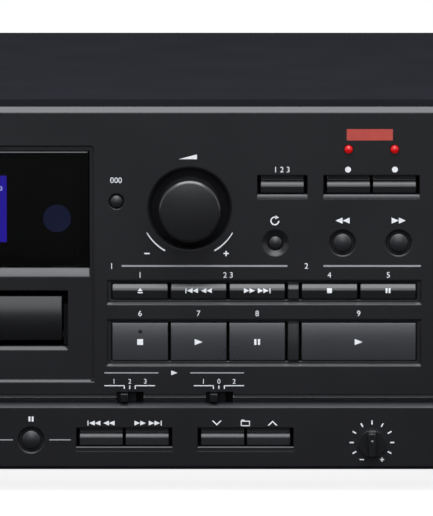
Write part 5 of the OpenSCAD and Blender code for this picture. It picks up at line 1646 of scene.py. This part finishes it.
@dataclass
class Keys:
    """All keys and buttons, with the signs on their faces."""

    soft: float = 0.3
    soft_depth: float = 1.9
    slice_mm: float = 0.2
    # Keys in the two framed rows, with the signs on them
    narrow_z: float = 76.0
    narrow_sign: float = 1.8
    narrow_crease: Crease = Crease(0.75)
    narrow = {
        "cd_open_button": Mark.EJECT,
        "cd_skip_back_button": Mark.SKIP_BACK,
        "cd_skip_forward_button": Mark.SKIP_FORWARD,
        "tape_stop_button": Mark.STOP,
        "tape_pause_button": Mark.PAUSE,
    }
    tall_z: float = 56.6
    tall_sign: float = 2.2
    tall = {
        "cd_stop_button": Mark.STOP,
        "cd_play_button": Mark.PLAY,
        "cd_pause_button": Mark.PAUSE,
        "tape_play_button": Mark.PLAY,
    }
    dotted: str = "cd_stop_button"
    dot: Spot = (83.3, 60.5, 0.8)
    dot_sunk: float = 0.1
    dot_h: float = 0.35
    # Bar buttons on the panel and on the strip
    bar_crease: Crease = Crease(0.75, 0.4, 0.25)
    bars = ("source_button", "usb_record_button", "tape_record_button")
    strip_crease: Crease = Crease(0.5, 0.7, 0.5)
    strip_bars = (
        "eject_button",
        "usb_skip_back_button",
        "usb_skip_forward_button",
        "folder_down_button",
        "folder_up_button",
    )
    # Round buttons
    rounds = (
        "power_button",
        "counter_reset_button",
        "repeat_button",
        "rewind_button",
        "fast_forward_button",
        "usb_stop_button",
        "usb_play_button",
        "usb_pause_button",
    )
    round_dome: float = 0.9
    round_reach: float = 0.98
    round_smooth: float = 50.0
    flange: Point = (1.1, 1.2)
    flange_in: float = 3.25
    stem_r: float = 1.3

    def key(self, node: str, finish: Finish = KEYS, crease: Crease | None = None) -> Piece:
        """Builds one key with softened front edges.

        Args:
            node: Name of its CAD node.
            finish: Its plastic.
            crease: How its face bends into its slope, if it does.

        Returns:
            The key.
        """
        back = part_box(node)[0].y / MM + self.soft_depth
        return skin(node, finish, self.soft, back, crease)

    def round_key(self, node: str) -> None:
        """Turns one round button, with its flange and stem.

        Args:
            node: Name of its CAD node.
        """
        low, high = box_mm(node)
        lip, thick = self.flange
        r = (high.x - low.x) / 2 - lip
        ball = (r * r + self.round_dome**2) / (2 * self.round_dome)
        steps = 12
        reach = [r * self.round_reach * k / steps for k in range(steps + 1)]
        dome = [(x, low.y + ball - math.sqrt(ball * ball - x * x)) for x in reach]
        seat = low.y + self.flange_in
        back = [(r, low.y + self.round_dome), (r, seat), (r + lip, seat), (r + lip, seat + thick)]
        stem = [(self.stem_r, seat + thick), (self.stem_r, high.y), (0.0, high.y)]
        turned = lathe(dome + back + stem, (low.x + high.x) / 2, (low.z + high.z) / 2, steps=64)
        cap = add_piece(node + "_cap", turned, ROUNDS, body_of(node), self.round_smooth)
        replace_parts(cap, node)

    def touch_dot(self, press: Press) -> None:
        """Sets a small raised dot that a finger can find.

        Args:
            press: The press of the key's face.
        """
        x, z, r = self.dot
        y = press.depth(x, z) / MM + self.dot_sunk
        profile = [(r * math.sin(a), y - self.dot_h * math.cos(a)) for a in quarter(9)]
        add_piece("touch_dot", lathe(profile, x, z, steps=32), INNER, body_of(self.dotted))

    def build(self) -> None:
        """Builds the keys and prints their signs."""
        for node in self.bars:
            self.key(node, crease=self.bar_crease)
        for node in self.strip_bars:
            self.key(node, STRIP_KEYS, self.strip_crease)
        for node in self.rounds:
            self.round_key(node)
        rows = (
            (self.narrow, self.narrow_z, self.narrow_sign, KEYS, self.narrow_crease),
            (self.tall, self.tall_z, self.tall_sign, TALL_KEYS, None),
        )
        for row, z, size, finish, crease in rows:
            for node, mark in row.items():
                press = Press(self.key(node, finish, crease))
                low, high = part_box(node)
                middle = (low.x + high.x) / 2 / MM
                sign = moved(mark.sign(size), middle, z)
                press.stamp(node + "_sign", sign, body_of(node), INK, self.slice_mm)
                if node == self.dotted:
                    self.touch_dot(press)


@dataclass
class CassetteBay:
    """The cassette door and the tape drive behind it."""

    door_soft: float = 0.35
    door_back: float = -132.0
    pane_soft: float = 0.3
    # Scale on the window: strokes, of which each fifth is longer and has a figure over it
    middle: float = -151.0
    scale_z: float = 62.0
    scale_marks: int = 11
    scale_step: float = 6.0
    scale_group: int = 5
    scale_figure: float = 1.8
    figure_up: float = 3.4
    stroke_w: float = 0.4
    stroke_h: Point = (1.4, 2.4)

    def scale(self) -> Sign:
        """Draws the scale on the window.

        Returns:
            Its strokes and figures, in place.
        """
        first = self.middle - self.scale_step * (self.scale_marks - 1) / 2
        short, long = self.stroke_h
        signs = []
        for i in range(self.scale_marks):
            x = first + i * self.scale_step
            numbered = i % self.scale_group == 0
            signs.append(bar(self.stroke_w, long if numbered else short, x, self.scale_z))
            if numbered:
                signs += moved(number(str(10 * i), self.scale_figure), x, self.scale_z + self.figure_up)
        return signs

    def build(self) -> None:
        """Dresses the bay."""
        skin("cassette_door", PANEL, self.door_soft, self.door_back)
        pane = skin("door_window", DOOR_PANE, self.pane_soft)
        Press(pane).stamp("door_scale", self.scale(), body_of("door_window"), INK)
        painted = {"tape_deck_plate": ZINC, "head_slide": ZINC, "tape_motor": STEEL, "drive_belt": RUBBER}
        for node, finish in painted.items():
            paint(node, finish)
        turning = {"supply_reel": INNER, "takeup_reel": INNER}
        turning |= {"pinch_roller": RUBBER, "capstan_flywheel": STEEL}
        for node, finish in turning.items():
            skin(node, finish)


@dataclass
class Sockets:
    """Sockets on the front and the back, with the boards behind them."""

    rca_xs: tuple[float, ...] = (-168.0, -148.0, -122.0, -102.0)
    rca_z: float = 33.0
    rca_r: float = 4.1
    rca_bore: float = 1.75
    rear_y: float = 137.0
    phones: Point = (-141.0, 20.3)
    phones_y: float = -139.0
    phones_r: float = 6.4
    phones_bore: float = 3.3
    # Profiles, as steps in radius and depth from the edge that each list is named after
    shell_end = ((-0.6, -0.3), (-0.3, 0.02), (0.05, -0.3))
    shell_foot = ((0.05, 1.3), (1.2, 1.25), (1.2, 1.15))
    insert_bore = ((0.0, -0.5), (0.1, 0.05))
    insert_rim = ((-0.55, 0.05),)
    nut_bore = ((0.0, 1.0), (0.0, -0.02), (0.4, -0.25))
    nut_rim = ((-0.4, -0.25), (0.03, 0.1), (0.03, 1.0))

    def edge(self, r: float, y: float, steps: Sequence[Point]) -> list[Point]:
        """Draws part of a profile.

        Args:
            r: Radius that the steps start from.
            y: Depth that they start from.
            steps: Steps in radius and depth.

        Returns:
            Radius and depth of each point, in millimetres.
        """
        return [(r + wide, y + deep) for wide, deep in steps]

    def build(self) -> None:
        """Dresses the sockets and boards."""
        paint("front_sockets", INNER)
        paint("rear_sockets", INNER)
        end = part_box("rear_sockets")[1].y / MM
        shell = self.edge(self.rca_r, end, self.shell_end)
        shell += self.edge(self.rca_r, self.rear_y, self.shell_foot)
        insert = self.edge(self.rca_bore, end, self.insert_bore)
        insert += self.edge(self.rca_r, end, self.insert_rim)
        for i, x in enumerate(self.rca_xs):
            add_piece(f"socket_shell_{i}", lathe(shell, x, self.rca_z, steps=48), NICKEL, CABINET)
            colour = SOCKET_INSERTS[i % len(SOCKET_INSERTS)]
            add_piece(f"socket_insert_{i}", lathe(insert, x, self.rca_z, steps=48), colour, CABINET)
        nut = self.edge(self.phones_bore, self.phones_y, self.nut_bore)
        nut += self.edge(self.phones_r, self.phones_y, self.nut_rim)
        add_piece("phones_nut", lathe(nut, *self.phones, steps=64), NICKEL, CABINET)
        boards = {"control_boards": BLACK_BOARD, "main_board": BOARD, "power_transformer": COPPER}
        for node, finish in boards.items():
            paint(node, finish)


# Studio


@dataclass
class Studio:
    """Camera, lamps, floor and background, in metres where a name gives no other unit."""

    target: Spot = (0.1118, -0.133, 0.0883)
    distance: float = 3.0
    elevation_deg: float = 7.6
    seen_height: float = 0.1929
    sensor_mm: float = 24.0
    clip_end: float = 50.0
    # Each lamp: name, place, what it points at, width and depth, and light that leaves its face
    lamps = (
        ("top_softbox", (0.1, -0.4, 1.05), (0.1, -0.25, 0.1), (1.0, 1.5), 5.0),
        ("front_softbox", (0.1, -2.9, 1.3), (0.1, -0.13, 0.1), (2.2, 1.6), 3.0),
    )
    lamp_tint: Spot = (0.93, 0.96, 1.0)
    white: Colour = (1.0, 1.0, 1.0, 1.0)
    # Strength of the background where it only lights, and where it is seen
    world_light: Point = (0.3, 1.0)
    floor_size: float = 14.0
    floor_colour: str = "#9a9a9a"
    floor_white: float = 0.85
    card_half: float = 4.0
    card_near: float = -0.12
    card_far: float = -4.2
    card_z: float = 0.004
    card_top: float = 3.0

    def aim(self, piece: Piece, at: Spot) -> None:
        """Turns a camera or a lamp that is in place.

        Args:
            piece: The camera or lamp.
            at: What it points at.
        """
        piece.rotation_euler = (Vector(at) - piece.location).to_track_quat("-Z", "Y").to_euler()

    def camera(self) -> None:
        """Sets the long lens that the photo was taken with."""
        data = bpy.data.cameras.new("camera")
        data.sensor_fit = "VERTICAL"
        data.sensor_height = self.sensor_mm
        data.lens = self.sensor_mm * self.distance / self.seen_height
        data.clip_end = self.clip_end
        camera = place("camera", data)
        rise = math.radians(self.elevation_deg)
        camera.location = Vector(self.target) + self.distance * Vector((0, -math.cos(rise), math.sin(rise)))
        self.aim(camera, self.target)
        bpy.context.scene.camera = camera

    def lamp(self, name: str, spot: Spot, at: Spot, size: Point, radiance: float) -> None:
        """Hangs a soft rectangular lamp.

        Args:
            name: Name of the lamp.
            spot: Where it hangs.
            at: What it points at.
            size: Its width and depth.
            radiance: Light that leaves its face, where 1 is white.
        """
        data = bpy.data.lights.new(name, "AREA")
        data.shape = "RECTANGLE"
        data.size, data.size_y = size
        data.energy = radiance * math.pi * size[0] * size[1]
        data.color = self.lamp_tint
        light = place(name, data)
        light.location = spot
        self.aim(light, at)

    def seen(self, tree: Tree) -> Socket:
        """Adds nodes that tell rays that show the background from rays that only light.

        Args:
            tree: The tree that takes them.

        Returns:
            A socket that is 1 for camera, glossy and transmission rays.
        """
        path = add_node(tree, "ShaderNodeLightPath").outputs
        mirror = reckon(tree, "MAXIMUM", path["Is Glossy Ray"], path["Is Transmission Ray"])
        return reckon(tree, "MAXIMUM", path["Is Camera Ray"], mirror)

    def world(self) -> None:
        """Makes a white background that lights the object only softly."""
        world = bpy.data.worlds.new("white_studio")
        world.use_nodes = True
        tree = world.node_tree
        back = tree.nodes["Background"]
        back.inputs["Color"].default_value = self.white
        tree.links.new(ranged(tree, self.seen(tree), self.world_light), back.inputs["Strength"])
        bpy.context.scene.world = world

    def floor(self) -> None:
        """Lays a pale floor that keeps the shadow."""
        bm = bmesh.new()
        bmesh.ops.create_grid(bm, x_segments=1, y_segments=1, size=self.floor_size / 2)
        mesh = bpy.data.meshes.new("floor")
        bm.to_mesh(mesh)
        bm.free()
        material = bpy.data.materials.new("pale_studio_floor")
        material.use_nodes = True
        tree = material.node_tree
        shader = tree.nodes["Principled BSDF"]
        shader.inputs["Base Color"].default_value = linear(self.floor_colour)
        shader.inputs["Roughness"].default_value = 1.0
        shader.inputs["Specular IOR Level"].default_value = 0.0
        shader.inputs["Emission Color"].default_value = self.white
        glow = reckon(tree, "MULTIPLY", self.seen(tree), self.floor_white)
        tree.links.new(glow, shader.inputs["Emission Strength"])
        mesh.materials.append(material)
        place("floor", mesh)

    def card(self) -> None:
        """Sets up a dark card, lying before the deck and standing behind the camera.

        Only mirrors see it, so that the glossy front stays dark.
        """
        mesh = bpy.data.meshes.new("black_card")
        fold = ((self.card_near, self.card_z), (self.card_far, self.card_z), (self.card_far, self.card_top))
        corners = [(s * self.card_half, y, z) for y, z in fold for s in (-1, 1)]
        mesh.from_pydata(corners, [], [(0, 1, 3, 2), (2, 3, 5, 4)])
        mesh.materials.append(Faded("dark_grey_card", "#080808", 1.0, 0.0, far="#5a5a5a").build())
        card = place("black_card", mesh)
        card.visible_camera = False
        card.visible_diffuse = False
        card.visible_shadow = False

    def build(self) -> None:
        """Sets up the whole studio."""
        self.camera()
        self.card()
        for lamp in self.lamps:
            self.lamp(*lamp)
        self.world()
        self.floor()
        bpy.context.scene.view_settings.view_transform = "Standard"


def main() -> None:
    """Dresses the deck and lights it."""
    logging.basicConfig(level=logging.INFO, format="%(name)s %(message)s")
    for kind in (Cabinet, FrontPanel, Display, DiscTray, Knobs, Keys, CassetteBay, Sockets, Studio):
        LOG.info("building %s", kind.__name__)
        kind().build()


if __name__ == "__main__":
    main()
